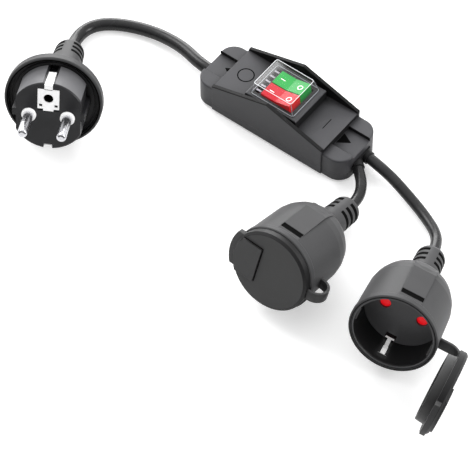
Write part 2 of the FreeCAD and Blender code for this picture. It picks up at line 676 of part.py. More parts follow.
def plug_earth_clip():
    """The earth strip in the lower channel."""
    top = -PLUG_RADIUS + 0.9
    arm = slab((-2.0, 2.0), (top, top + PLATE[2]), (-PLUG_DEPTH - 1.9, -0.8))
    foot = slab((-2.0, 2.0), (top, -PLUG_RADIUS + CHANNEL_DEEP), (-PLUG_DEPTH - 1.9, -PLUG_DEPTH - 1.1))
    return fused([arm, foot])


def plug_earth_sleeve():
    """The tube behind the plate that takes a socket's earth pin."""
    base = -PLATE[2] + 0.2
    sleeve = cylinder(EARTH_RADIUS + 0.8, -EARTH_DEEP, base, 0, EARTH_OFFSET)
    return sleeve.cut(cylinder(EARTH_RADIUS, -EARTH_DEEP - 1, base + 1, 0, EARTH_OFFSET))


def barrel_outline():
    """The outer outline of a socket's shell, from its rear face over the round shoulder to its front ring."""
    return [(10.6, -SOCKET_DEEP), (13.4, -SOCKET_DEEP + 0.5), (15.8, -SOCKET_DEEP + 2.2),
            (18.0, -SOCKET_DEEP + 5.2), (19.7, -SOCKET_DEEP + 9.4), (BARREL_REAR, -SHOULDER),
            (BARREL_FRONT, -3.4), (RING_RADIUS, -3.0), (RING_RADIUS, -0.5), (RING_RADIUS - 0.5, 0)]


def socket_body():
    """A socket's rubber shell: front ring, barrel, round shoulder, and a flat spine along its top."""
    inner = RECESS_RADIUS + INSERT_WALL + FIT / 2
    half = FACET_WIDTH / 2
    spine = prism([(10, -3.4), (FACET_HEIGHT, -3.4), (FACET_HEIGHT, -SHOULDER - 1.0), (18.9, -SOCKET_DEEP + 8.0),
                   (16.9, -SOCKET_DEEP + 4.4), (15.0, -SOCKET_DEEP + 2.0), (10, -SOCKET_DEEP + 2.0)],
                  "X", -half, half)
    body = turned([(0, -SOCKET_DEEP)] + barrel_outline() + [(0, 0)]).fuse(spine)
    body = body.cut(slab((-half, half), (FACET_HEIGHT, 30), (-SOCKET_DEEP - 1, -3.4)))
    bore = turned([(0, 1), (inner, 1), (inner, -BASE_REAR - 1.2), (WAIST_RADIUS + FIT, -BASE_REAR - 1.2),
                   (WAIST_RADIUS + FIT, -WAIST_REAR - FIT), (SPIGOT_RADIUS + FIT, -WAIST_REAR - FIT),
                   (SPIGOT_RADIUS + FIT, -SPIGOT_REAR - FIT), (0, -SPIGOT_REAR - FIT)])
    slot = slab((-half + 0.2, half - 0.2), (inner - 1, 30), (-8.8, -5.6))
    return body.cut(bore).cut(slot)


def socket_insert():
    """The hard lining of the recess, with its guide ribs."""
    outer = RECESS_RADIUS + INSERT_WALL
    floor = -RECESS_DEPTH
    cup = cylinder(outer, floor, -0.6).cut(cylinder(RECESS_RADIUS, floor - 1, 1))
    lip = turned([(RECESS_RADIUS, -1.6), (RECESS_RADIUS + 0.45, -0.6), (RECESS_RADIUS, -0.6)])
    cup = cup.cut(lip)
    for side in (-1, 1):
        rib = slab((RECESS_RADIUS - 1.1, RECESS_RADIUS + 0.4), (-3.5, 4.0), (floor, -1.6))
        cup = cup.fuse(rib if side > 0 else mirrored(rib, V(1, 0, 0)))
    return cup.removeSplitter()


def socket_plate():
    """The floor of the recess: pin holes, earth slots and the boss that the shutter turns on."""
    floor = -RECESS_DEPTH
    back = floor - PLATE_THICK
    plate = cylinder(RECESS_RADIUS + INSERT_WALL, back, floor)
    for side in (-1, 1):
        plate = plate.cut(cylinder(HOLE_RADIUS, back - 1, floor + 1, side * PIN_PITCH / 2, 0))
        rows = (15.2, 18.9) if side > 0 else (-18.9, -15.2)
        plate = plate.cut(slab((-2.8, 2.8), rows, (back - 1, floor + 1)))
    boss = cylinder(2.0, back - SHUTTER_THICK - 2 * SHUTTER_GAP, back + 0.2)
    return fused([plate, boss])


def shutter():
    """The red disc behind the face plate that closes both pin holes until it is turned."""
    front = -RECESS_DEPTH - PLATE_THICK - SHUTTER_GAP
    disc = cylinder(SHUTTER_RADIUS, front - SHUTTER_THICK, front)
    disc = disc.cut(cylinder(2.0 + AXLE_RUNNING, front - 3, front + 1))
    for half_turn in (0, 180):
        hole = cylinder(HOLE_RADIUS + 0.2, front - 3, front + 1, PIN_PITCH / 2, 0)
        disc = disc.cut(spun(hole, half_turn - SHUTTER_TURN))
    return disc


def base_front():
    """The height at which a socket's rear carrier starts."""
    return -RECESS_DEPTH - PLATE_THICK - 2 * SHUTTER_GAP - SHUTTER_THICK


def socket_base():
    """The rear carrier, which holds the sleeves of both contacts and the earth bridge."""
    front = base_front()
    base = cylinder(RECESS_RADIUS + INSERT_WALL, -BASE_REAR, front)
    collar = cylinder(RECESS_RADIUS + INSERT_WALL, front - 0.2, -RECESS_DEPTH - PLATE_THICK)
    base = base.fuse(collar.cut(cylinder(RECESS_RADIUS - 0.4, front - 1, 0)))
    base = base.fuse(cylinder(WAIST_RADIUS, -WAIST_REAR, -BASE_REAR))
    base = base.fuse(cylinder(SPIGOT_RADIUS, -SPIGOT_REAR, -WAIST_REAR))
    for side in (-1, 1):
        base = base.cut(cylinder(CONTACT_RADIUS + FIT / 2, -SPIGOT_REAR + 1.5, front + 1, side * PIN_PITCH / 2, 0))
        rows = (15.2, 18.9) if side > 0 else (-18.9, -15.2)
        base = base.cut(slab((-2.8, 2.8), rows, (-BASE_REAR - 1, 1)))
    bridge = slab((-2.3, 2.3), (-WAIST_RADIUS - 1, WAIST_RADIUS + 1), (-BASE_REAR - 0.95, -BASE_REAR))
    return base.cut(bridge).removeSplitter()


def socket_contacts():
    """The two split sleeves that grip a plug's pins."""
    front = base_front() - 0.3
    sleeves = []
    for side in (-1, 1):
        x = side * PIN_PITCH / 2
        sleeve = cylinder(CONTACT_RADIUS, -SPIGOT_REAR + 1.6, front, x, 0)
        sleeve = sleeve.cut(cylinder(CONTACT_BORE, -SPIGOT_REAR, front + 1, x, 0))
        sleeves.append(sleeve.cut(slab((x - 0.4, x + 0.4), (0, 5), (-SPIGOT_REAR + 4, front + 1))))
    return group(sleeves)


def socket_earth_clip():
    """The sprung earth strip: an arm up each side of the recess, bulged inwards, and a bridge behind."""
    back = -BASE_REAR - 0.5
    arm = [(18.2, back), (18.2, -14.5), (16.4, -9.0), (16.7, -7.6), (18.0, -5.2)]
    route = [(y, z) for y, z in reversed(arm)] + [(-y, z) for y, z in arm]
    return strip(route, 0.8, 4.4)


def lid():
    """A socket's lid, closed: a plate with a finger tab and thumb pad, and a plug that fills the recess."""
    low = LID_GAP
    high = LID_GAP + LID_THICK
    plate = turned([(0, low), (LID_RADIUS, low), (LID_RADIUS, high - LID_BEVEL),
                    (LID_RADIUS - LID_BEVEL, high), (0, high)])
    inner = turned([(LID_PLUG - 2.2, low + 0.5), (LID_PLUG + 0.3, low + 0.5), (LID_PLUG - 0.3, low - LID_PLUG_DEEP),
                    (LID_PLUG - 2.2, low - LID_PLUG_DEEP)])
    tab = cylinder(LID_RADIUS + 2.8, low, low + 2.6)
    tab = tab.common(slab((-40, -LID_RADIUS + 4.5), (-10.0, 10.0), (low - 1, high)))
    pad = cylinder(LID_RADIUS - LID_BEVEL - 0.2, high - 0.5, high + PAD_RISE)
    pad = pad.common(slab((-40, -6.2), (-10.2, 10.0), (0, high + 3)))
    return fused([plate, inner, tab, pad])


def lid_swung(shape, angle):
    """The lid turned open about its rubber hinge."""
    return spun(shape, angle, V(HINGE_OUT, 0, -HINGE_BACK), V(0, 1, 0))


def strap_loop():
    """The strap of a closed lid: a loop from the barrel's side round to the lid's rim."""
    middle = (STRAP_FRONT - STRAP_BACK) / 2
    bend = (STRAP_FRONT + STRAP_BACK) / 2
    centre = LID_RADIUS + 1.2
    half = STRAP_THICK / 2
    loop = Part.makeCylinder(bend + half, STRAP_WIDTH, V(centre, -STRAP_WIDTH / 2, middle), V(0, 1, 0))
    loop = loop.cut(Part.makeCylinder(bend - half, STRAP_WIDTH, V(centre, -STRAP_WIDTH / 2, middle), V(0, 1, 0)))
    loop = loop.common(slab((centre, centre + 20), (-10, 10), (-30, 30)))
    wide = (-STRAP_WIDTH / 2, STRAP_WIDTH / 2)
    lower = slab((BARREL_REAR - 2, centre), wide, (-STRAP_BACK - half, -STRAP_BACK + half))
    upper = slab((LID_RADIUS + 0.05, centre), wide, (STRAP_FRONT - half, STRAP_FRONT + half))
    return seated_on_barrel(fused([loop, lower, upper]))


def strap_open():
    """The strap of an open lid: out from the barrel's side, then forward to the lid's rim."""
    swung = V(STRAP_FRONT + HINGE_BACK + HINGE_OUT, 0, HINGE_OUT - LID_RADIUS - 0.05 - HINGE_BACK)
    half = STRAP_THICK / 2
    bend = 6.0
    centre = V(swung.x - bend, 0, bend - STRAP_BACK)
    quarter = Part.makeCylinder(bend + half, STRAP_WIDTH, V(centre.x, -STRAP_WIDTH / 2, centre.z), V(0, 1, 0))
    quarter = quarter.cut(Part.makeCylinder(bend - half, STRAP_WIDTH, V(centre.x, -STRAP_WIDTH / 2, centre.z),
                                            V(0, 1, 0)))
    quarter = quarter.common(slab((centre.x, centre.x + 20), (-10, 10), (-30, centre.z)))
    wide = (-STRAP_WIDTH / 2, STRAP_WIDTH / 2)
    lower = slab((BARREL_REAR - 2, centre.x), wide, (-STRAP_BACK - half, -STRAP_BACK + half))
    upper = slab((swung.x - half, swung.x + half), wide, (centre.z, swung.z))
    return seated_on_barrel(fused([quarter, lower, upper]))


def seated_on_barrel(strap):
    """The strap with its foot cut to the barrel's side."""
    barrel = turned([(0, -SHOULDER), (BARREL_REAR, -SHOULDER), (BARREL_FRONT, -3.4), (0, -3.4)])
    return strap.cut(barrel)


def plug_parts():
    """The plug's pieces about its own axis."""
    return {"plug_core": plug_core(), "plug_body": plug_body(),
            "plug_relief": relief(PLUG_RELIEF, -GRIP_END, 3, RELIEF_BAND, SUPPLY_RADIUS),
            "plug_pin_left": plug_pin(-1), "plug_pin_right": plug_pin(1),
            "pin_collar_left": pin_collar(-1), "pin_collar_right": pin_collar(1),
            "plug_earth_contact": plug_earth_contact(), "plug_earth_clip": plug_earth_clip(),
            "plug_earth_sleeve": plug_earth_sleeve()}


def socket_parts(name, is_open):
    """One socket's pieces about its own axis, with its lid closed or swung open."""
    cover = lid_swung(lid(), 90) if is_open else lid()
    strap = strap_open() if is_open else strap_loop()
    return {name + "_body": socket_body(), name + "_insert": socket_insert(), name + "_plate": socket_plate(),
            name + "_shutter": shutter(),
            name + "_base": socket_base(), name + "_contacts": socket_contacts(),
            name + "_earth_clip": socket_earth_clip(), name + "_lid": cover, name + "_strap": strap,
            name + "_relief": relief(SOCKET_RELIEF, -SOCKET_DEEP, 3, RELIEF_BAND, OUTLET_RADIUS)}


def box_parts():
    """The pieces of the switch box."""
    parts = {"base_shell": base_shell(), "top_shell": top_shell(), "housing_screws": housing_screws(),
             "clamp_inlet": clamp_bar(-CLAMP_X, supply_seat()), "clamp_outlet": clamp_bar(CLAMP_X, block_seat()),
             "clamp_screws": clamp_screws(),
             "inlet_grommet": inlet_grommet(), "outlet_block": outlet_block(),
             "switch_body": switch_body(), "switch_frame": switch_frame(), "rocker_axle": rocker_axle(),
             "rocker_green": rocker(1), "rocker_red": rocker(-1), "switch_terminals": switch_terminals(),
             "weather_cap": weather_cap()}
    parts.update(wires())
    return parts


def block_seat():
    """The room for the outlet block's foot under its clamp."""
    return slab((CLAMP_X - 3, CLAMP_X + 3), (-BLOCK_SIDE - FIT, BLOCK_SIDE + FIT),
                (CORD_HEIGHT - 1, CORD_HEIGHT + BLOCK_RISE - 0.2 + FIT))


def axis_end(placement, face, run):
    """A cord's end in the relief of a unit, and the point that its first run goes to."""
    return (tuple(placement.multVec(V(0, 0, face + CORD_SEAT))),
            tuple(placement.multVec(V(0, 0, face + CORD_SEAT - run))))


def sleeve_end(side, run):
    """A cord's end in its outlet sleeve, and the point that its first run goes to."""
    root, end = outlet_start(side)
    out = (end - root).normalize()
    return tuple(end - out * CORD_SEAT), tuple(end + out * (run - CORD_SEAT))


def cords(plug_at, socket_a_at, socket_b_at):
    """The three cords between the plug, the box and the sockets."""
    plug_face = -GRIP_END - PLUG_RELIEF[2]
    socket_face = -SOCKET_DEEP - SOCKET_RELIEF[2]
    plug_end, plug_out = axis_end(plug_at, plug_face, 8.5)
    a_end, a_out = axis_end(socket_a_at, socket_face, 8.5)
    b_end, b_out = axis_end(socket_b_at, socket_face, 10.0)
    a_start, a_next = sleeve_end(-1, 8.4)
    b_start, b_next = sleeve_end(1, 14.0)
    routes = {"supply_cord": ([plug_end, plug_out] + SUPPLY_ROUTE + SUPPLY_TAIL, SUPPLY_RADIUS),
              "cord_a": ([a_start, a_next] + CORD_A_ROUTE + [a_out, a_end], OUTLET_RADIUS),
              "cord_b": ([b_start, b_next] + CORD_B_ROUTE + [b_out, b_end], OUTLET_RADIUS)}
    for name, (points, radius) in routes.items():
        print(name, "points", [tuple(round(value, 2) for value in point) for point in points])
    return {name: cord_tube(name, points, radius) for name, (points, radius) in routes.items()}


def build():
    """Every node's shape, in the box's frame."""
    cup_back = -PLUG_DEPTH - CUP_FLOOR + 1.2
    plug_at = lying(*PLUG_LIES, [(COLLAR_CUP, -PLUG_DEPTH + CUP_RIM - 0.6), (COLLAR_CUP, cup_back),
                                 (PLUG_RELIEF[1], -GRIP_END - PLUG_RELIEF[2])])
    socket_a_at = lying(*SOCKET_A_LIES, barrel_outline())
    socket_b_at = lying(*SOCKET_B_LIES, barrel_outline())
    parts = box_parts()
    for pieces, placement in ((plug_parts(), plug_at), (socket_parts("socket_a", False), socket_a_at),
                              (socket_parts("socket_b", True), socket_b_at)):
        parts.update({name: moved(shape, placement) for name, shape in pieces.items()})
    parts.update(cords(plug_at, socket_a_at, socket_b_at))
    for name, placement in (("plug", plug_at), ("socket_a", socket_a_at), ("socket_b", socket_b_at)):
        rows = placement.Rotation
        print(name, "at", [round(value, 3) for value in placement.Base],
              "right", [round(value, 5) for value in rows.multVec(V(1, 0, 0))],
              "up", [round(value, 5) for value in rows.multVec(V(0, 1, 0))],
              "front", [round(value, 5) for value in rows.multVec(V(0, 0, 1))])
    return parts


def main():
    os.makedirs("parts", exist_ok=True)
    for name, shape in build().items():
        box = shape.BoundBox
        print(name, "solids", len(shape.Solids), "valid", shape.isValid(), "lowest", round(box.ZMin, 2))
        shape.exportStep("parts/" + name + ".step")


main()
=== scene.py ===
"""The splitter extension lead as photographed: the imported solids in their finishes, with cords, lid
straps, signs and fine lines of the scene's own, on a plain white floor.
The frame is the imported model's: origin under the switch box, +X towards its outlets, +Z up.
Sizes are in millimetres where no heading says metres, and MM turns them into metres.
"""
import bpy
import bmesh
import math
from mathutils import Matrix, Vector


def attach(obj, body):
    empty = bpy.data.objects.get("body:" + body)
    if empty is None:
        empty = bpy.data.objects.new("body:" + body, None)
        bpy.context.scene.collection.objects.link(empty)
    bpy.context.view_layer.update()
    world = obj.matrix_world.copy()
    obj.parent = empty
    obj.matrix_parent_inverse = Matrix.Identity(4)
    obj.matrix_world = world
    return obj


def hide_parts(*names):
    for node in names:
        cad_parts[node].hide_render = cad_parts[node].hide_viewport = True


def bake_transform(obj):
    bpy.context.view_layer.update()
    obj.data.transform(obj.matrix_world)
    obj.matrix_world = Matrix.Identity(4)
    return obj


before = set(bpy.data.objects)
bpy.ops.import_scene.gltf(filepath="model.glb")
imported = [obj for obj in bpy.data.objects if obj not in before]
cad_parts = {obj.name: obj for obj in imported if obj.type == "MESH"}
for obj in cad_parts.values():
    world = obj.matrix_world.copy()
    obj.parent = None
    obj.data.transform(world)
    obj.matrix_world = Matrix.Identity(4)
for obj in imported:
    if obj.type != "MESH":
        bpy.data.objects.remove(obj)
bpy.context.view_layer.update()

MM = 0.001
# Edges turned more than this stay sharp on the scene's own pieces
SHARP_ANGLE = math.radians(40)

# Camera, found from the photograph: its aim and distance in metres, its lens in the photograph's pixels
AIM = Vector((22.04, -70.23, 0.0)) * MM
AZIMUTH = math.radians(37.5)
ELEVATION = math.radians(53.4)
DISTANCE = 1.4
FOCAL_PIXELS = 2898.0
FRAME_PIXELS = 470.0
SENSOR_WIDTH = 36.0

# Inlays, and the dark skins that paint shade on step faces: how deep they reach under a face, and how proud
# they stand of it
SUNK = 0.1
FINE_PROUD = 0.03
PROUD = 0.04
BOLD_PROUD = 0.05
STEP_SKIN = 0.05
WING_SKIN = 0.04

# Turns that stand a flat outline up: along the box, and across it
UPRIGHT = Matrix.Rotation(math.radians(90), 4, "X")
ACROSS = Matrix.Rotation(math.radians(90), 4, "Z") @ UPRIGHT

# The box: its levels, the sunk strips at its ends, the raised saddle and the wings
PANEL_TOP = 18.4
END_TOP = 16.2
STRIP_FLOOR = 14.2
STRIP_SIDE = 7.0
STRIP_REACH = 12.2
SADDLE = (-34.1, 33.1)
SADDLE_SIDE = 16.0
STEP_SIDE = 15.0
WING_RISE = 19.3
WING_PEAK = (-0.5, 29.9)
WING_THICK = 1.6
WING_SHADE_DROP = 0.8
WING_EDGE_DROP = 0.9
WING_EDGE_RISE = 0.05

# Signs sunk in the box, as X and Y places: the off ring, the on bar and two arrows
OFF_AT = (-25.4, 0.5)
OFF_RING = (3.8, 4.4)
ON_BAR = ((24.6, 25.0), (-3.6, 3.6))
ARROWS = (((-34.9, -1.7), (-38.6, 0.7), (-34.9, 3.1)), ((33.3, -3.9), (39.4, 0.3), (33.3, 3.3)))

# The switch frame and its ledge of pale bars
FRAME_TOP = 24.6
FRAME_ROUND = 1.0
FRAME_SIDE = 12.75
FRAME_ENDS = (-16.0, 15.0)
LEDGE = (-12.8, -9.9)
LEDGE_SIDE = 9.2
BAR_COUNT = 5
BAR_HALF = 0.5
BAR_SUNK = 0.2

# The clear cap's foot and top: both ends in X, half the width, the height; and the highlights painted on its
# edges
CAP_FOOT = (-13.8, 12.2, 11.2, 24.62)
CAP_TOP = (-13.1, 9.8, 9.6, 31.22)
FOOT_CORNER = 1.6
TOP_CORNER = 1.2
FOOT_INSET = 0.5
TOP_INSET = 0.4
HIGHLIGHT_WIDE = 0.26
FOOT_HIGHLIGHT_THICK = 0.3
TOP_HIGHLIGHT_THICK = 0.05
HIGHLIGHT_ROD = 0.16
GLARE_END = -5.0

# The rockers: pivot, height of the top's valley over it, slope of each half, rest tilt, and their marks
PIVOT = (0.3, 0.0, 21.0)
VALLEY = 4.6
SLOPE = math.radians(8.0)
REST_TILT = math.radians(8.0)
ROCKER_MIDDLE = 4.6
MARK_RING = (1.1, 1.5)
MARK_RING_AT = 5.4
MARK_RING_STEPS = 28
MARK_DASH = ((-6.4, -3.8), (-0.2, 0.2))
MARK_SUNK = 0.05

# The plug's and the sockets' own axes: origin, right, up, front
PLUG = ((-80.3, -85.8, 29.376), (0.86545, 0.50095, -0.00656), (-0.16518, 0.29769, 0.94027),
        (0.47298, -0.81267, 0.34038))
SOCKET_A = ((60.4, -90.9, 27.466), (0.9977, -0.01111, -0.06688), (0.06728, 0.28392, 0.95648),
            (0.00837, -0.95878, 0.28402))
SOCKET_B = ((126.4, -87.3, 27.343), (0.94777, 0.22195, -0.22906), (0.14832, 0.3291, 0.93257),
            (0.28237, -0.91784, 0.27899))

# The sockets' lids: radius, outer face and bevel; where the dark edge of painted shade starts on the side,
# how far it goes over the face and how proud it is of the bevel; the hinge (out, along), and lid B's angle
# at rest
LID_RADIUS = 20.8
LID_FACE = 4.1
LID_BEVEL = 1.1
LID_EDGE_START = 0.2
LID_EDGE_REACH = 0.2
BEVEL_PROUD = 0.02
HINGE = (25.2, -5.5)
LID_B_OPEN = math.radians(90)

# The thumb pad of a lid: its left, upper and lower lines of painted shade, how far left the upper one runs,
# their width
PAD_LEFT = -6.2
PAD_UPPER = 10.0
PAD_LOWER = -10.2
PAD_REACH = -17.2
PAD_LINE = 0.45

# The lids' straps: section, where they leave the barrel and reach a shut lid, and their bends
BARREL_SIDE = 20.9
STRAP_HALF = 2.8
STRAP_THICK = 1.5
STRAP_CORNER = 0.3
STRAP_ROOT = 0.6
STRAP_FOOT = 1.0
STRAP_BACK = -9.8
STRAP_FRONT = 1.4
STRAP_OUT = 1.2
STRAP_LAP = 1.3
STRAP_STEPS = 16
OPEN_BEND = 6.0

# A socket's lining edge, painted grey as if lit; its mouth line and slot, painted dark as shade
LINING_EDGE = (19.12, 19.88)
LINING_FRONT = -0.6
MOUTH_LINE = (20.35, 20.65)
SLOT_HALF = 5.6
SLOT_ALONG = (-8.75, -5.65)
SLOT_TOP = 20.2
SLOT_FLOOR_THICK = 0.25

# Guards beside the earth spring's runs. For each run: where it starts (out, along), its lean, from where
# to where the guards go on it, and how far from its middle they begin. The first two are at its foot.
SPRING_FOOT = (18.2, -14.5)
SPRING_TIP = (16.7, -7.6)
SPRING_GUARDS = ((SPRING_FOOT, 0.0, (-1.8, 0.3), 0.95), (SPRING_FOOT, 0.0, (-6.0, -3.4), 0.0),
                 (SPRING_FOOT, math.atan2(1.8, 5.5), (-0.2, 6.2), 0.95),
                 (SPRING_TIP, -math.atan2(1.3, 2.4), (-1.2, 2.9), 1.2))
GUARD_SIDE = 2.3
GUARD_UNDER = -0.7
GUARD_THICK = 0.35

# The plug: the line round its cup, the crease of its earth plate, the slits in its pins' noses, and the
# round side of its front between the flats and the channels
CUP_LINE = (22.5, 23.25)
CUP_FRONT = -14.5
PLATE_TOP = 0.25
PLATE_CREASE = (14.8, 15.1)
CREASE_HALF = 2.05
PIN_AT = 9.5
PIN_SLIT = (1.25, 1.6)
PIN_SLIT_ALONG = (18.7, 18.97)
PIN_SLIT_START = math.radians(20)
PIN_SLIT_TURN = math.radians(140)
PIN_SLIT_STEPS = 12
CORE_RADIUS = 18.5
CORE_SIDE = (-17.4, -0.9)
CORE_FLAT = math.radians(32.0)
CORE_CHANNEL = math.radians(9.5)

# The bend reliefs: rear end, groove floor, rear radius and its growth, along each unit's own axis
SOCKET_GROOVES = (-64.0, 5.6, 7.1, 0.7 / 24.4)
PLUG_GROOVES = (-65.0, 6.7, 7.3, 1.6 / 29.0)
RELIEF_BAND = 2.3
GROOVE_COUNT = 3
GROOVE_FIRST = 3.45
GROOVE_PITCH = 4.0
GROOVE_REACH = (-0.2, 1.7)

# Cord routes, the same points as the part's source
SUPPLY_POINTS = [(-109.62, -35.41, 8.27), (-113.65, -28.51, 5.38), (-116.3, -17.6, 3.7), (-113.2, -9.1, 3.6),
                 (-105.3, -2.6, 3.6), (-94.5, 2.2, 3.7), (-82.0, 4.9, 4.2), (-67.6, 4.3, 5.4),
                 (-53.5, 0.0, 6.8), (-39.0, 0.0, 6.8), (-29.6, 0.0, 6.2)]
CORD_A_POINTS = [(45.92, -3.75, 6.8), (52.53, -8.92, 6.8), (57.6, -15.9, 6.9), (59.82, -24.26, 7.73),
                 (59.89, -32.41, 10.14)]
CORD_B_POINTS = [(46.0, 3.44, 6.8), (59.86, 1.5, 6.8), (75.4, -2.2, 4.2), (88.4, -6.6, 3.1),
                 (100.6, -13.4, 4.8), (106.35, -22.13, 7.53), (109.18, -31.31, 10.32)]

# Cord diameters and lengths, in metres
SUPPLY_DIAMETER = 0.0066
OUTLET_DIAMETER = 0.0056

# Finishes: where the clouds turn from dark to light, how deep grain is, and how much painted shade a close
# neighbour casts
CLOUD_SPAN = (0.3, 0.7)
GRAIN_DEPTH = 0.1
CREASE_SEEN = (0.3, 0.9)
CREASE_SHADE = 0.12
COAT_ROUGH = 0.08
# How far up a rocker's or the cap's face looks where its painted top tone or its painted glare starts and is
# full
ROCKER_SPAN = (0.35, 0.97)
GLARE_SPAN = (0.6, 0.95)
CAP_ROUGH = 0.06

# The floor, half a side in metres, and its light: what the camera sees, and the share seen in gloss
FLOOR_HALF = 4.0
PAPER_ROUGH = 0.35
PAPER_LIFT = 0.42
GLOSS_SHARE = 0.5

# The room's light: where it comes from, and its strength on the far side and there
SKY_TOWARD = Vector((-0.42, 0.5, 0.76))
SKY_START = -0.3
SKY_DIM = 0.18
SKY_BRIGHT = 1.4


def colour(text):
    """A screen colour such as '#3a3a3c' as linear values."""
    channels = [int(text[i:i + 2], 16) / 255 for i in (1, 3, 5)]
    linear = [c / 12.92 if c <= 0.04045 else ((c + 0.055) / 1.055) ** 2.4 for c in channels]
    return (*linear, 1.0)


def add(tree, kind, inputs, **settings):
    """A shader node with its settings; each input takes a value or another node's output."""
    made = tree.nodes.new("ShaderNode" + kind)
    for name, value in settings.items():
        setattr(made, name, value)
    for socket, value in inputs.items():
        if isinstance(value, bpy.types.NodeSocket):
            tree.links.new(value, made.inputs[socket])
        else:
            made.inputs[socket].default_value = value
    return made


def per_metre(millimetres):
    """The scale of a noise whose grains are this wide."""
    return 1.0 / (millimetres * MM)


def tree_of(name):
    """A new material, its nodes and its shader."""
    material = bpy.data.materials.new(name)
    material.use_nodes = True
    return material, material.node_tree, material.node_tree.nodes["Principled BSDF"]


def two_tones(tree, factor, span, first, second):
    """A colour that goes from one to another as a factor crosses a span."""
    ramp = add(tree, "ValToRGB", {"Fac": factor})
    for element, position, tone in zip(ramp.color_ramp.elements, span, (first, second)):
        element.position = position
        element.color = colour(tone)
    return ramp.outputs["Color"]


def facing_up(tree):
    """How far up a face looks: 1 is straight up."""
    facing = add(tree, "NewGeometry", {})
    split = add(tree, "SeparateXYZ", {"Vector": facing.outputs["Normal"]})
    return split.outputs["Z"]


def moulded(name, dark, light, rough, grain, bump=0.12, cloud=18.0, spread=0.06, metal=0.0, coat=0.0,
            edge=0.0, crease=0.0, glow=0.0, shine=0.5, brushed=(1, 1, 1)):
    """A finish whose colour and gloss drift in clouds over a grain. Grain, cloud, edge and crease are
    real sizes in millimetres: the width of a grain and of a cloud, the radius that softens an edge,
    and how near a neighbour has to be for painted shade to darken a corner. Glow is a painted glow
    that lifts a colour in shade, and brushed draws the pattern out into lines."""
    material, tree, shader = tree_of(name)
    place = add(tree, "TexCoord", {})
    along = add(tree, "Mapping", {"Vector": place.outputs["Object"], "Scale": brushed})
    cloudy = add(tree, "TexNoise", {"Vector": along.outputs["Vector"], "Scale": per_metre(cloud),
                                    "Detail": 4.0})
    tint = two_tones(tree, cloudy.outputs["Fac"], CLOUD_SPAN, dark, light)
    # Painted shade: the colour darkens where a neighbour is near, in corners and hollows
    if crease:
        near = add(tree, "AmbientOcclusion", {"Distance": crease * MM}, samples=8)
        depth = add(tree, "MapRange", {"Value": near.outputs["AO"], "From Min": CREASE_SEEN[0],
                                       "From Max": CREASE_SEEN[1], "To Min": CREASE_SHADE, "To Max": 1.0})
        tint = add(tree, "VectorMath", {0: tint, "Scale": depth.outputs["Result"]},
                   operation="SCALE").outputs["Vector"]
    tree.links.new(tint, shader.inputs["Base Color"])
    gloss = add(tree, "MapRange", {"Value": cloudy.outputs["Fac"], "To Min": rough - spread,
                                   "To Max": rough + spread})
    tree.links.new(gloss.outputs["Result"], shader.inputs["Roughness"])
    fine = add(tree, "TexNoise", {"Vector": along.outputs["Vector"], "Scale": per_metre(grain),
                                  "Detail": 2.0})
    surface = add(tree, "Bump", {"Height": fine.outputs["Fac"], "Strength": bump,
                                 "Distance": GRAIN_DEPTH * MM})
    if edge:
        rounded = add(tree, "Bevel", {"Radius": edge * MM}, samples=4)
        tree.links.new(rounded.outputs["Normal"], surface.inputs["Normal"])
    tree.links.new(surface.outputs["Normal"], shader.inputs["Normal"])
    shader.inputs["Metallic"].default_value = metal
    shader.inputs["Specular IOR Level"].default_value = shine
    shader.inputs["Coat Weight"].default_value = coat
    shader.inputs["Coat Roughness"].default_value = COAT_ROUGH
    # Painted glow: the colour is also given off as light, so that it holds in shade
    if glow:
        tree.links.new(tint, shader.inputs["Emission Color"])
        shader.inputs["Emission Strength"].default_value = glow
    return material


def painted_glow_rocker(name, side, top, glow):
    """Translucent polycarbonate with a painted glow in place of light through it, and painted light and
    shade: one tone for its sides and one for its top.
    """
    material = moulded(name, side, side, rough=0.34, grain=0.9, bump=0.02, spread=0.04, shine=0.3)
    tree = material.node_tree
    shader = tree.nodes["Principled BSDF"]
    tint = two_tones(tree, facing_up(tree), ROCKER_SPAN, side, top)
    tree.links.new(tint, shader.inputs["Base Color"])
    tree.links.new(tint, shader.inputs["Emission Color"])
    shader.inputs["Emission Strength"].default_value = glow
    return material


def clear_film(name, glare, rest):
    """Clear moulded PVC: a pale painted glare on its top by the ledge, and hardly anything elsewhere."""
    material, tree, shader = tree_of(name)
    shader.inputs["Base Color"].default_value = colour("#ffffff")
    shader.inputs["Roughness"].default_value = CAP_ROUGH
    place = add(tree, "TexCoord", {})
    where = add(tree, "SeparateXYZ", {"Vector": place.outputs["Object"]})
    fade = add(tree, "MapRange", {"Value": where.outputs["X"], "From Min": CAP_TOP[0] * MM,
                                  "From Max": GLARE_END * MM, "To Min": glare, "To Max": rest},
               interpolation_type="SMOOTHSTEP")
    film = add(tree, "MapRange", {"Value": facing_up(tree), "From Min": GLARE_SPAN[0],
                                  "From Max": GLARE_SPAN[1], "To Min": rest,
                                  "To Max": fade.outputs["Result"]})
    tree.links.new(film.outputs["Result"], shader.inputs["Alpha"])
    return material


# ABS, moulded in a spark-eroded tool: an even satin black with a soft sparkle and no shine, and painted
# shade in its corners.
# The real grit is 0.05 mm, too fine to show, so it is drawn at 0.4 mm.
BOX_ABS = moulded("abs_spark_eroded", "#3a3a3d", "#404043", rough=0.48, grain=0.4, bump=0.25, edge=0.5,
                  crease=6, shine=0.38)
# The same ABS from a polished tool: tighter, slightly brighter edges round the switch, and painted shade in
# its corners
SWITCH_ABS = moulded("abs_polished_frame", "#38383b", "#3e3e41", rough=0.4, grain=0.4, bump=0.1, edge=0.3,
                     crease=4, shine=0.35)
# Painted shade on the step faces of the mouldings, which the light never reaches: near black and dull
STEP_SHADE_ABS = moulded("abs_painted_step_shade", "#111112", "#171718", rough=0.65, grain=0.4, bump=0.1, shine=0.2)
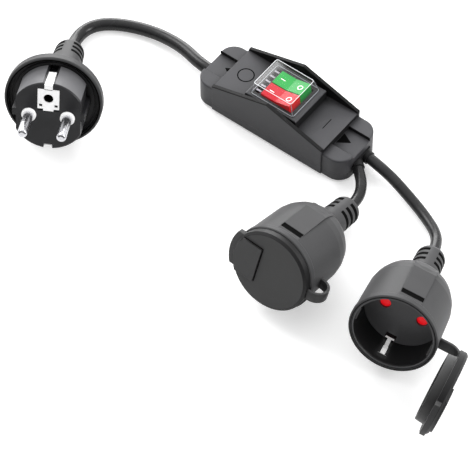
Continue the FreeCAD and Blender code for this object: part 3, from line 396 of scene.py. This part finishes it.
# TPE rubber, moulded and talc-dulled: dark grey with a broad soft sheen on its round backs, and painted
# shade in its corners
SOCKET_TPE = moulded("tpe_rubber_socket", "#464647", "#4d4d4e", rough=0.46, grain=0.6, bump=0.18, cloud=25,
                     edge=0.5, crease=5, shine=0.14)
# The plug's rubber is the same kind, a shade darker and a little smoother, with painted shade in its corners
# too
PLUG_TPE = moulded("tpe_rubber_plug", "#404041", "#474748", rough=0.42, grain=0.6, bump=0.18, cloud=25,
                   edge=0.5, crease=5, shine=0.18)
# Lids and straps of the same rubber in a darker copy of it, with more light on their flat faces and painted
# shade in their corners
LID_TPE = moulded("tpe_rubber_lid", "#393939", "#404041", rough=0.46, grain=0.6, bump=0.18, cloud=25,
                  edge=0.5, crease=5, shine=0.35)
# Rubber painted near black as shade: the lids' edges and the box's cord sleeves
SHADE_TPE = moulded("tpe_rubber_painted_shade", "#161617", "#1c1c1d", rough=0.5, grain=0.6, bump=0.1, cloud=25,
                   shine=0.3)
# Polyamide front of the plug: hard, flat and satin, nearly black on its face
PLUG_PA = moulded("polyamide_plug_front", "#232325", "#2a2a2c", rough=0.34, grain=0.45, bump=0.1, edge=0.4,
                  shine=0.3)
# The round side of that front: a lighter grey than its face, with a painted glow that lifts it evenly out of
# its shade
GLOW_SIDE_PA = moulded("polyamide_side_painted_glow", "#565658", "#5e5e60", rough=0.45, grain=0.45, bump=0.1,
                    shine=0.2, glow=0.6)
# Glass-filled polyamide inside the sockets: black, with painted shade deep in its hollows and light only on
# the rims
CUP_PA = moulded("polyamide_socket_cup", "#19191a", "#202021", rough=0.38, grain=0.45, bump=0.1, edge=0.3,
                 crease=9)
# The sockets' floors and the front edges of their linings: the same polyamide, painted grey as if lit
PAINTED_LIT_PA = moulded("polyamide_socket_floor_painted_lit", "#5c5c5e", "#646466", rough=0.42, grain=0.45, bump=0.1,
                   edge=0.3)
# PVC cord jacket, extruded: black, smooth and oily, with one narrow highlight along it
JACKET = moulded("pvc_cord_jacket", "#1e1e1f", "#262627", rough=0.27, grain=1.1, bump=0.08, cloud=8,
                 shine=0.3)
# Nickel-plated brass, turned and polished: mirrors the studio in hard light and dark stripes
NICKEL = moulded("nickel_plated_pin", "#c8c8cc", "#dadade", rough=0.27, grain=2.0, bump=0.04, cloud=5,
                 metal=1.0, edge=0.3)
# Tin-plated spring strip, rolled: almost white, with faint lines along it and a painted glow that keeps it
# bright in shade
EARTH_STRIP = moulded("tin_plated_spring_strip", "#f2f2f3", "#ffffff", rough=0.36, grain=1.1, bump=0.25,
                      cloud=2.5, metal=0.25, edge=0.2, glow=0.3, brushed=(6, 6, 1))
# Bare contact brass, as pressed: warm yellow and bright
CONTACT_BRASS = moulded("contact_brass", "#b8974a", "#cdae62", rough=0.3, grain=0.8, metal=1.0)
# Zinc-plated steel of the screws and the rockers' axle: pale grey with a soft mirror
ZINC_STEEL = moulded("zinc_plated_steel", "#9a9a9e", "#b4b4b8", rough=0.35, grain=0.8, metal=1.0)
# White polyamide collars of the pins: clean and bright, and a painted glow keeps them bright in shade
WHITE_PA = moulded("polyamide_white", "#eeeeee", "#fafafa", rough=0.4, grain=0.9, bump=0.05, glow=0.3)
# Red polyamide shutter: strong and slightly glossy, made even by a painted glow
SHUTTER_PA = moulded("polyamide_red_shutter", "#d80a16", "#e81420", rough=0.35, grain=0.9, bump=0.05,
                     glow=0.7)
# The rockers' polycarbonate with a painted glow, and painted light on top: a green that pales on top, and a
# red that stays deep
GREEN_PC = painted_glow_rocker("polycarbonate_green_rocker", "#088632", "#109038", glow=0.24)
RED_PC = painted_glow_rocker("polycarbonate_red_rocker", "#c0040c", "#b00c20", glow=0.24)
# Clear PVC of the cap, moulded thin: a faint painted glare over the ledge, clear over the rockers
CAP_PVC = clear_film("clear_pvc_cap", glare=0.1, rest=0.015)
# Painted highlights on the cap's edges: white above, a dimmer grey at its foot
CAP_EDGE_HIGHLIGHT = moulded("painted_cap_edge_highlight", "#e4e8ec", "#f8fafc", rough=0.2, grain=1.1, bump=0.02, coat=0.6)
CAP_FOOT_HIGHLIGHT = moulded("painted_cap_foot_highlight", "#8c9096", "#a4a8ae", rough=0.2, grain=1.1, bump=0.02, coat=0.6)
# Pale polycarbonate bars on the ledge: a milky grey under the cap
LEDGE_PALE = moulded("polycarbonate_pale_bars", "#8e8a94", "#a09ca6", rough=0.4, grain=0.9, bump=0.05)
# Matt black paint: in the sunk signs, and as painted shade in slots, grooves and fine lines
SIGN_AND_SHADE_PAINT = moulded("matt_black_paint", "#030303", "#060606", rough=0.8, grain=0.5, bump=0.05, shine=0.05)
# Pad print on the rockers: white, with a painted glow like the rockers'
ROCKER_PRINT = moulded("white_pad_print", "#f2e8ea", "#ffffff", rough=0.4, grain=0.9, bump=0.02, glow=0.35)
# PVC insulation of the wires inside the box, extruded: plain strong colours
BROWN_PVC = moulded("pvc_brown_wire", "#5a3018", "#683a20", rough=0.4, grain=0.8)
BLUE_PVC = moulded("pvc_blue_wire", "#1a4aa0", "#2456b0", rough=0.4, grain=0.8)
GREEN_PVC = moulded("pvc_green_wire", "#5a9a20", "#68aa2c", rough=0.4, grain=0.8)


def dress(material, *names):
    """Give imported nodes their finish."""
    for name in names:
        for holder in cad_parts[name].material_slots:
            holder.material = material


# Finishes of the box, its cord sleeves and the switch
dress(BOX_ABS, "base_shell", "top_shell")
dress(SWITCH_ABS, "switch_frame")
dress(CUP_PA, "switch_body", "clamp_inlet", "clamp_outlet")
dress(ZINC_STEEL, "housing_screws", "clamp_screws", "rocker_axle")
dress(SHADE_TPE, "inlet_grommet", "outlet_block")
dress(GREEN_PC, "rocker_green")
dress(RED_PC, "rocker_red")
dress(CAP_PVC, "weather_cap")
dress(CONTACT_BRASS, "switch_terminals")
dress(BROWN_PVC, "wire_live")
dress(BLUE_PVC, "wire_neutral")
dress(GREEN_PVC, "wire_earth")
dress(WHITE_PA, "earth_splice")

# Finishes of the plug
dress(PLUG_PA, "plug_core")
dress(PLUG_TPE, "plug_body", "plug_relief")
dress(NICKEL, "plug_pin_left", "plug_pin_right")
dress(WHITE_PA, "pin_collar_left", "pin_collar_right")
dress(EARTH_STRIP, "plug_earth_contact", "plug_earth_clip")
dress(CUP_PA, "plug_earth_sleeve")

# Finishes of both sockets
for socket in ("socket_a_", "socket_b_"):
    dress(SOCKET_TPE, socket + "body", socket + "relief")
    dress(LID_TPE, socket + "lid", socket + "strap")
    dress(CUP_PA, socket + "insert", socket + "base")
    dress(PAINTED_LIT_PA, socket + "plate")
    dress(SHUTTER_PA, socket + "shutter")
    dress(CONTACT_BRASS, socket + "contacts")
    dress(EARTH_STRIP, socket + "earth_clip")


def cord(name, points, diameter, body_nodes):
    """A cord along its route, as one smooth spline in place of its solid."""
    curve = bpy.data.curves.new(name, "CURVE")
    curve.dimensions = "3D"
    spline = curve.splines.new("NURBS")
    spline.points.add(len(points) - 1)
    for point, place in zip(spline.points, points):
        point.co = (*(Vector(place) * MM), 1.0)
    spline.order_u = 3
    spline.use_endpoint_u = True
    spline.resolution_u = 16
    curve.bevel_depth = diameter / 2
    curve.bevel_resolution = 10
    curve.use_fill_caps = True
    piece = bpy.data.objects.new(name, curve)
    bpy.context.scene.collection.objects.link(piece)
    curve.materials.append(JACKET)
    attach(piece, "lead")
    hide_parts(*body_nodes)


cord("supply_lead", list(reversed(SUPPLY_POINTS)), SUPPLY_DIAMETER,
     ["supply_cord"])
cord("near_lead", CORD_A_POINTS, OUTLET_DIAMETER,
     ["cord_a"])
cord("far_lead", CORD_B_POINTS, OUTLET_DIAMETER,
     ["cord_b"])


def axes(unit):
    """The matrix that lays a plug's or socket's own right, up and along places in the frame."""
    origin, right, up, front = (Vector(v) for v in unit)
    return Matrix.Translation(origin) @ Matrix((right, up, front)).transposed().to_4x4()


def of_kind(made, kind):
    """The vertices, edges or faces among what an operator made."""
    return [part for part in made if isinstance(part, kind)]


def vertices_of(made):
    """The vertices among what an operator made."""
    return of_kind(made, bmesh.types.BMVert)


def plate(bm, corners, base, thick, lies=Matrix()):
    """A flat plate: one face with these corners at a base height, extruded and laid by a matrix."""
    face = bm.faces.new([bm.verts.new(lies @ Vector((x, y, base))) for x, y in corners])
    grown = bmesh.ops.extrude_face_region(bm, geom=[face])["geom"]
    bmesh.ops.translate(bm, vec=lies.to_3x3() @ Vector((0, 0, thick)), verts=vertices_of(grown))


def inlay(bm, corners, top, proud, lies=Matrix()):
    """A plate sunk in a face at this height and a little proud of it."""
    plate(bm, corners, top - SUNK, SUNK + proud, lies)


def skin(bm, corners, at, half, lies):
    """A thin plate with its middle in an upright face."""
    plate(bm, corners, at - half, 2 * half, lies)


def oblong(x, y):
    """The corners of a rectangle between two X and two Y places."""
    return [(x[0], y[0]), (x[1], y[0]), (x[1], y[1]), (x[0], y[1])]


def band(bm, section, lies=Matrix(), steps=64):
    """A ring about Z: the closed outline of its section, spun right round and laid by a matrix."""
    before = set(bm.verts)
    corners = [bm.verts.new((r, 0, z)) for r, z in section]
    outline = [bm.edges.new((corners[k - 1], corners[k])) for k in range(len(corners))]
    bmesh.ops.spin(bm, geom=corners + outline, cent=(0, 0, 0), axis=(0, 0, 1), angle=2 * math.pi,
                   steps=steps, use_merge=True)
    bmesh.ops.transform(bm, matrix=lies, verts=[v for v in bm.verts if v not in before])


def sunk_ring(bm, radii, front, proud, lies=Matrix()):
    """A ring between two radii, sunk in a face and a little proud of it."""
    band(bm, oblong(radii, (front - SUNK, front + proud)), lies)


def arc(bm, section, start, angle, lies=Matrix(), steps=24):
    """Part of a ring about Z, from a start angle, closed at both ends and laid by a matrix."""
    before = set(bm.verts)
    face = bm.faces.new([bm.verts.new((r, 0, z)) for r, z in section])
    bmesh.ops.rotate(bm, matrix=Matrix.Rotation(start, 3, "Z"), verts=face.verts)
    bmesh.ops.spin(bm, geom=[face, *face.verts, *face.edges], cent=(0, 0, 0), axis=(0, 0, 1), angle=angle,
                   steps=steps)
    bmesh.ops.transform(bm, matrix=lies, verts=[v for v in bm.verts if v not in before])


def highlight_frame(bm, limits, corner, thick):
    """A level frame with rounded corners: an oblong with its corners bevelled, inset and extruded."""
    low, high, side, height = limits
    before = set(bm.faces)
    face = bm.faces.new([bm.verts.new((x, y, height)) for x, y in oblong((low, high), (-side, side))])
    bmesh.ops.bevel(bm, geom=face.verts[:], offset=corner, affect="VERTICES", segments=5, profile=0.5,
                    material=-1)
    inner = [f for f in bm.faces if f not in before]
    rim = bmesh.ops.inset_region(bm, faces=inner, thickness=HIGHLIGHT_WIDE, use_boundary=True,
                                 use_even_offset=True)
    bmesh.ops.delete(bm, geom=inner, context="FACES")
    grown = bmesh.ops.extrude_face_region(bm, geom=rim["faces"])["geom"]
    bmesh.ops.translate(bm, vec=(0, 0, thick), verts=vertices_of(grown))


def rod(bm, start, end, radius):
    """A thin round rod between two points."""
    run = Vector(end) - Vector(start)
    made = bmesh.ops.create_cone(bm, cap_ends=True, segments=10, radius1=radius, radius2=radius,
                                 depth=run.length)
    middle = Matrix.Translation((Vector(start) + Vector(end)) / 2)
    bmesh.ops.transform(bm, matrix=middle @ run.to_track_quat("Z", "Y").to_matrix().to_4x4(),
                        verts=made["verts"])


def put(name, bm, material, body="lead", lies=Matrix()):
    """A finished piece: its faces turned outwards, laid in its place and made metres."""
    bmesh.ops.recalc_face_normals(bm, faces=bm.faces)
    bmesh.ops.transform(bm, matrix=Matrix.Scale(MM, 4) @ lies, verts=bm.verts)
    mesh = bpy.data.meshes.new(name)
    bm.to_mesh(mesh)
    bm.free()
    for face in mesh.polygons:
        face.use_smooth = True
    mesh.set_sharp_from_angle(angle=SHARP_ANGLE)
    piece = bpy.data.objects.new(name, mesh)
    bpy.context.scene.collection.objects.link(piece)
    mesh.materials.append(material)
    if body:
        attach(piece, body)
    return piece


# Signs sunk in the box: a ring and a bar for off and on, and two arrows that point away from the switch
signs = bmesh.new()
sunk_ring(signs, OFF_RING, 0.0, FINE_PROUD, Matrix.Translation((*OFF_AT, PANEL_TOP)))
inlay(signs, oblong(*ON_BAR), PANEL_TOP, FINE_PROUD)
for arrow in ARROWS:
    inlay(signs, arrow, STRIP_FLOOR, PROUD)
put("box_signs", signs, SIGN_AND_SHADE_PAINT)

# Painted shade on the step faces of the saddle's ends and of the sunk strips
risers = bmesh.new()
step_outline = [(-STEP_SIDE, END_TOP), (-STRIP_SIDE, END_TOP), (-STRIP_SIDE, STRIP_FLOOR),
                (STRIP_SIDE, STRIP_FLOOR), (STRIP_SIDE, END_TOP), (STEP_SIDE, END_TOP),
                (STEP_SIDE, PANEL_TOP), (-STEP_SIDE, PANEL_TOP)]
for at, outward in ((SADDLE[0], -1), (SADDLE[1], 1)):
    skin(risers, step_outline, at, STEP_SKIN, ACROSS)
    strip = sorted((at, at + outward * STRIP_REACH))
    for side in (-1, 1):
        skin(risers, oblong(strip, (STRIP_FLOOR, END_TOP)), side * STRIP_SIDE, STEP_SKIN, UPRIGHT)
put("step_faces_painted_shade", risers, STEP_SHADE_ABS)

# Painted shade on the inner faces of both wings, with their upper edges darkened the same
wing_shade = bmesh.new()
peak, crest = WING_PEAK
gable = [(SADDLE[0], PANEL_TOP), (SADDLE[1], PANEL_TOP), (SADDLE[1], WING_RISE - WING_SHADE_DROP),
         (peak, crest - WING_SHADE_DROP), (SADDLE[0], WING_RISE - WING_SHADE_DROP)]
slopes = (((SADDLE[0], WING_RISE), WING_PEAK), (WING_PEAK, (SADDLE[1], WING_RISE)))
for side in (-1, 1):
    skin(wing_shade, gable, side * (SADDLE_SIDE - WING_THICK), WING_SKIN, UPRIGHT)
    low = min(side * (SADDLE_SIDE + WING_SKIN), side * (SADDLE_SIDE - WING_THICK - WING_SKIN))
    for start, end in slopes:
        upper_edge = [(start[0], start[1] - WING_EDGE_DROP), (end[0], end[1] - WING_EDGE_DROP),
                      (end[0], end[1] + WING_EDGE_RISE), (start[0], start[1] + WING_EDGE_RISE)]
        plate(wing_shade, upper_edge, low, WING_THICK + 2 * WING_SKIN, UPRIGHT)
put("wing_shade_painted", wing_shade, STEP_SHADE_ABS)

# Painted shade on the ends of the switch frame
ends = bmesh.new()
for at in FRAME_ENDS:
    wall = oblong((-FRAME_SIDE, FRAME_SIDE), (PANEL_TOP, FRAME_TOP - FRAME_ROUND))
    skin(ends, wall, at, STEP_SKIN, ACROSS)
put("frame_ends_painted_shade", ends, STEP_SHADE_ABS)

# Pale bars on the ledge of the switch frame
bars = bmesh.new()
for index in range(BAR_COUNT):
    middle = -LEDGE_SIDE + 2 * LEDGE_SIDE / BAR_COUNT * (index + 0.5)
    plate(bars, oblong(LEDGE, (middle - BAR_HALF, middle + BAR_HALF)), FRAME_TOP - BAR_SUNK,
          BAR_SUNK + PROUD)
put("ledge_bars", bars, LEDGE_PALE)

# Painted highlights on the clear cap's edges: round its top, round its foot and up its four corners
top_highlight = bmesh.new()
highlight_frame(top_highlight, CAP_TOP, TOP_CORNER, TOP_HIGHLIGHT_THICK)
put("cap_top_painted_highlight", top_highlight, CAP_EDGE_HIGHLIGHT)
foot_highlight = bmesh.new()
highlight_frame(foot_highlight, CAP_FOOT, FOOT_CORNER, FOOT_HIGHLIGHT_THICK)
for end, inward in ((0, 1), (1, -1)):
    for side in (-1, 1):
        low_corner = (CAP_FOOT[end] + inward * FOOT_INSET, side * (CAP_FOOT[2] - FOOT_INSET), CAP_FOOT[3])
        high_corner = (CAP_TOP[end] + inward * TOP_INSET, side * (CAP_TOP[2] - TOP_INSET), CAP_TOP[3])
        rod(foot_highlight, low_corner, high_corner, HIGHLIGHT_ROD)
put("cap_foot_painted_highlight", foot_highlight, CAP_FOOT_HIGHLIGHT)

# Off and on signs of the rockers: a ring on the raised half and a dash on the other
for body, side in (("green_rocker", 1), ("red_rocker", -1)):
    marks = bmesh.new()
    seat = Matrix.Translation(PIVOT) @ Matrix.Rotation(-REST_TILT, 4, "Y") @ \
        Matrix.Translation((0, side * ROCKER_MIDDLE, VALLEY))
    raised = seat @ Matrix.Rotation(-SLOPE, 4, "Y") @ Matrix.Translation((MARK_RING_AT, 0, 0))
    band(marks, oblong(MARK_RING, (-MARK_SUNK, FINE_PROUD)), raised, steps=MARK_RING_STEPS)
    lowered = seat @ Matrix.Rotation(SLOPE, 4, "Y")
    plate(marks, oblong(*MARK_DASH), -MARK_SUNK, MARK_SUNK + FINE_PROUD, lowered)
    put("marks_of_" + body, marks, ROCKER_PRINT, body=body)


def strap(name, unit, turn, angle, end):
    """A lid's rubber strap, and the place where it leaves the barrel. Its section is drawn out, spun
    about the bend's centre and drawn on to the lid."""
    bm = bmesh.new()
    start = BARREL_SIDE - STRAP_ROOT
    half = STRAP_THICK / 2
    section = oblong((-STRAP_HALF, STRAP_HALF), (-half, half))
    face = bm.faces.new([bm.verts.new((start, y, STRAP_BACK + z)) for y, z in section])
    bmesh.ops.bevel(bm, geom=face.verts[:], offset=STRAP_CORNER, affect="VERTICES", segments=2, profile=0.5,
                    material=-1)
    grown = bmesh.ops.extrude_face_region(bm, geom=bm.faces[:])["geom"]
    bmesh.ops.translate(bm, vec=(turn[0] - start, 0, 0), verts=vertices_of(grown))
    leading = of_kind(grown, bmesh.types.BMFace) + vertices_of(grown) + of_kind(grown, bmesh.types.BMEdge)
    swept = bmesh.ops.spin(bm, geom=leading, cent=(turn[0], 0, turn[1]), axis=(0, -1, 0), angle=angle,
                           steps=STRAP_STEPS)
    tip = bmesh.ops.extrude_face_region(bm, geom=of_kind(swept["geom_last"], bmesh.types.BMFace))["geom"]
    bmesh.ops.translate(bm, vec=end, verts=vertices_of(tip))
    piece = put(name, bm, LID_TPE, body=None, lies=axes(unit))
    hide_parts("socket_" + name[-1] + "_strap")
    foot = Vector((BARREL_SIDE + STRAP_FOOT, 0, STRAP_BACK))
    return piece, axes(unit) @ foot * MM


# Strap A lies in a half turn round to its shut lid
bend = (STRAP_FRONT - STRAP_BACK) / 2
piece, foot = strap("strap_a", SOCKET_A, (LID_RADIUS + STRAP_OUT, STRAP_BACK + bend), math.pi,
                    (-STRAP_LAP, 0, 0))
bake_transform(piece)

# Strap B runs out and turns forward to its open lid
reach = STRAP_FRONT - HINGE[1] + HINGE[0]
edge_along = HINGE[0] + HINGE[1] - LID_RADIUS
rise = edge_along + SUNK - (STRAP_BACK + OPEN_BEND)
piece, foot = strap("strap_b", SOCKET_B, (reach - OPEN_BEND, STRAP_BACK + OPEN_BEND), math.pi / 2,
                    (0, 0, rise))
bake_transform(piece)

# Fine lines of painted shade beside the thumb pad of each lid; lid B is swung open about its hinge
swing = Matrix.Translation((HINGE[0], 0, HINGE[1])) @ Matrix.Rotation(LID_B_OPEN, 4, "Y") @ \
    Matrix.Translation((-HINGE[0], 0, -HINGE[1]))
for body, lies in (("lid_a", axes(SOCKET_A)), ("lid_b", axes(SOCKET_B) @ swing)):
    pad = bmesh.new()
    down = oblong((PAD_LEFT, PAD_LEFT + PAD_LINE), (PAD_LOWER, PAD_UPPER + PAD_LINE))
    leftward = oblong((PAD_REACH, PAD_LEFT), (PAD_UPPER, PAD_UPPER + PAD_LINE))
    inlay(pad, down, LID_FACE, BOLD_PROUD)
    inlay(pad, leftward, LID_FACE, BOLD_PROUD)
    put("pad_shade_lines_of_" + body, pad, SIGN_AND_SHADE_PAINT, body=body, lies=lies)

# The section of a lid's dark edge of painted shade: up its side, over its bevel, and back under its skin
LID_EDGE = [(LID_RADIUS - SUNK, LID_EDGE_START), (LID_RADIUS + PROUD, LID_EDGE_START),
            (LID_RADIUS + PROUD, LID_FACE - LID_BEVEL + BEVEL_PROUD),
            (LID_RADIUS - LID_BEVEL + PROUD, LID_FACE + FINE_PROUD),
            (LID_RADIUS - LID_BEVEL - LID_EDGE_REACH, LID_FACE + FINE_PROUD),
            (LID_RADIUS - LID_BEVEL - LID_EDGE_REACH, LID_FACE - SUNK),
            (LID_RADIUS - SUNK, LID_FACE - LID_BEVEL - SUNK)]

# Rims, slots and springs of the sockets
for name, unit, lies_lid in (("socket_a", SOCKET_A, Matrix()), ("socket_b", SOCKET_B, swing)):
    lies = axes(unit)
    # The lining's front edge, painted grey as if lit, as grey as the shell round it
    lip = bmesh.new()
    sunk_ring(lip, LINING_EDGE, LINING_FRONT, PROUD)
    put("lining_edge_of_" + name, lip, PAINTED_LIT_PA, lies=lies)
    # The slot in the barrel's flat, painted dark all through as shade
    slot = bmesh.new()
    plate(slot, oblong((-SLOT_HALF, SLOT_HALF), SLOT_ALONG), -SLOT_TOP, SLOT_FLOOR_THICK, UPRIGHT)
    put("slot_shade_of_" + name, slot, SIGN_AND_SHADE_PAINT, lies=lies)
    # A painted line of shade round the mouth, half way across the rim
    mouth = bmesh.new()
    sunk_ring(mouth, MOUTH_LINE, 0.0, FINE_PROUD)
    put("mouth_shade_line_of_" + name, mouth, SIGN_AND_SHADE_PAINT, lies=lies)
    # Black guards beside each arm of the earth spring, which leave its middle and its foot's end free
    guards = bmesh.new()
    for turn in (0, math.pi):
        for place, lean, run, inner in SPRING_GUARDS:
            along = Matrix.Rotation(turn, 4, "Z") @ Matrix.Translation((0, -place[0], place[1])) @ \
                Matrix.Rotation(math.pi / 2 - lean, 4, "X")
            for side in (-1, 1):
                across = sorted((side * inner, side * GUARD_SIDE))
                plate(guards, oblong(across, run), GUARD_UNDER, GUARD_THICK, along)
    put("spring_guards_of_" + name, guards, CUP_PA, lies=lies)
    # The lid's edge, painted dark as shade
    rim = bmesh.new()
    band(rim, LID_EDGE)
    put("lid_shade_edge_of_" + name, rim, SHADE_TPE, body="lid_" + name[-1],
        lies=lies @ lies_lid)

# Painted shade in the bend reliefs' grooves: dark arcs on both sides of the plain spines
for name, unit, grooves in (("socket_a", SOCKET_A, SOCKET_GROOVES), ("socket_b", SOCKET_B, SOCKET_GROOVES),
                            ("plug", PLUG, PLUG_GROOVES)):
    floors = bmesh.new()
    rear, floor_radius, rear_radius, growth = grooves
    for index in range(GROOVE_COUNT):
        along = GROOVE_FIRST + GROOVE_PITCH * index
        outer = rear_radius + growth * along + BOLD_PROUD
        gap = math.asin(RELIEF_BAND / outer)
        ends_along = (rear + along + GROOVE_REACH[0], rear + along + GROOVE_REACH[1])
        for turn in (-math.pi / 2, math.pi / 2):
            arc(floors, oblong((floor_radius, outer), ends_along), turn + gap, math.pi - 2 * gap)
    put("groove_shade_" + name, floors, SIGN_AND_SHADE_PAINT, lies=axes(unit))

# The round side of the plug's front, between its channels and flats: lighter grey, with a painted glow
sides = bmesh.new()
for start in (CORE_FLAT, math.pi / 2 + CORE_CHANNEL, math.pi + CORE_FLAT, 1.5 * math.pi + CORE_CHANNEL):
    arc(sides, oblong((CORE_RADIUS - SUNK, CORE_RADIUS + PROUD), CORE_SIDE), start,
        math.pi / 2 - CORE_FLAT - CORE_CHANNEL)
put("painted_glow_side_of_plug", sides, GLOW_SIDE_PA, lies=axes(PLUG))

# A dark line round the plug's cup, the crease of its earth plate and the slit in each pin's nose
cup_line = bmesh.new()
sunk_ring(cup_line, CUP_LINE, CUP_FRONT, FINE_PROUD)
put("cup_line", cup_line, SIGN_AND_SHADE_PAINT, lies=axes(PLUG))
crease = bmesh.new()
inlay(crease, oblong((-CREASE_HALF, CREASE_HALF), PLATE_CREASE), PLATE_TOP, PROUD)
put("plate_crease", crease, SIGN_AND_SHADE_PAINT, lies=axes(PLUG))
slits = bmesh.new()
for side in (-1, 1):
    arc(slits, oblong(PIN_SLIT, PIN_SLIT_ALONG), PIN_SLIT_START, PIN_SLIT_TURN,
        Matrix.Translation((side * PIN_AT, 0, 0)), steps=PIN_SLIT_STEPS)
put("pin_slits", slits, SIGN_AND_SHADE_PAINT, lies=axes(PLUG))

# Camera
back = Vector((math.sin(AZIMUTH) * math.cos(ELEVATION), -math.cos(AZIMUTH) * math.cos(ELEVATION),
               math.sin(ELEVATION)))
lens = bpy.data.cameras.new("view")
lens.sensor_width = SENSOR_WIDTH
lens.lens = FOCAL_PIXELS / FRAME_PIXELS * SENSOR_WIDTH
lens.clip_start = 0.01
eye = bpy.data.objects.new("view", lens)
eye.location = AIM + back * DISTANCE
eye.rotation_euler = (-back).to_track_quat("-Z", "Y").to_euler()
bpy.context.scene.collection.objects.link(eye)
bpy.context.scene.camera = eye

# Floor
ground = bmesh.new()
bmesh.ops.create_grid(ground, x_segments=1, y_segments=1, size=FLOOR_HALF)
sheet = bpy.data.meshes.new("floor")
ground.to_mesh(sheet)
ground.free()
floor = bpy.data.objects.new("floor", sheet)
bpy.context.scene.collection.objects.link(floor)
# White paper: the camera sees it white, and it keeps the shadow. In gloss it is half as bright, and
# by diffuse light a dull grey, as the studio's far floor is, so the undersides stay dark.
paper, tree, shader = tree_of("white_paper_sheet")
shader.inputs["Base Color"].default_value = colour("#e7e7e7")
shader.inputs["Roughness"].default_value = PAPER_ROUGH
shader.inputs["Emission Color"].default_value = colour("#ffffff")
path = add(tree, "LightPath", {})
straight = add(tree, "Math", {0: path.outputs["Is Camera Ray"], 1: path.outputs["Is Transmission Ray"]},
               operation="MAXIMUM")
mirrored = add(tree, "Math", {0: path.outputs["Is Glossy Ray"], 1: GLOSS_SHARE}, operation="MULTIPLY")
seen = add(tree, "Math", {0: straight.outputs["Value"], 1: mirrored.outputs["Value"]}, operation="MAXIMUM")
lift = add(tree, "MapRange", {"Value": seen.outputs["Value"], "To Min": 0.0, "To Max": PAPER_LIFT})
tree.links.new(lift.outputs["Result"], shader.inputs["Emission Strength"])
dull = add(tree, "BsdfDiffuse", {"Color": colour("#818181")})
mixed = add(tree, "MixShader", {"Fac": path.outputs["Is Diffuse Ray"], 1: shader.outputs["BSDF"],
                                2: dull.outputs["BSDF"]})
tree.links.new(mixed.outputs["Shader"], tree.nodes["Material Output"].inputs["Surface"])
sheet.materials.append(paper)

# Light: a pale room, brightest behind and to the left, with three soft lamps
world = bpy.data.worlds.new("studio")
world.use_nodes = True
room = world.node_tree
sky = room.nodes["Background"]
sky.inputs["Color"].default_value = colour("#ffffff")
toward = add(room, "TexCoord", {})
facing = add(room, "VectorMath", {0: toward.outputs["Generated"], 1: SKY_TOWARD.normalized()},
             operation="DOT_PRODUCT")
strength = add(room, "MapRange", {"Value": facing.outputs["Value"], "From Min": SKY_START, "From Max": 1.0,
                                  "To Min": SKY_DIM, "To Max": SKY_BRIGHT})
room.links.new(strength.outputs["Result"], sky.inputs["Strength"])
bpy.context.scene.world = world


def softbox(name, place, aim, width, height, power):
    """A rectangular lamp that faces a point, in metres and watts."""
    data = bpy.data.lights.new(name, "AREA")
    data.shape = "RECTANGLE"
    data.size = width
    data.size_y = height
    data.energy = power
    light = bpy.data.objects.new(name, data)
    light.location = place
    light.rotation_euler = (Vector(aim) - Vector(place)).to_track_quat("-Z", "Y").to_euler()
    bpy.context.scene.collection.objects.link(light)


softbox("key", place=(-0.75, 0.05, 0.7), aim=(0.02, -0.06, 0.0), width=0.5, height=0.5, power=5.0)
softbox("back", place=(-0.62, 0.68, 0.32), aim=(0.0, -0.06, 0.0), width=0.8, height=0.4, power=7.0)
softbox("side", place=(0.75, 0.3, 0.5), aim=(0.06, -0.06, 0.0), width=0.5, height=0.4, power=5.0)
bpy.context.scene.view_settings.view_transform = "Standard"
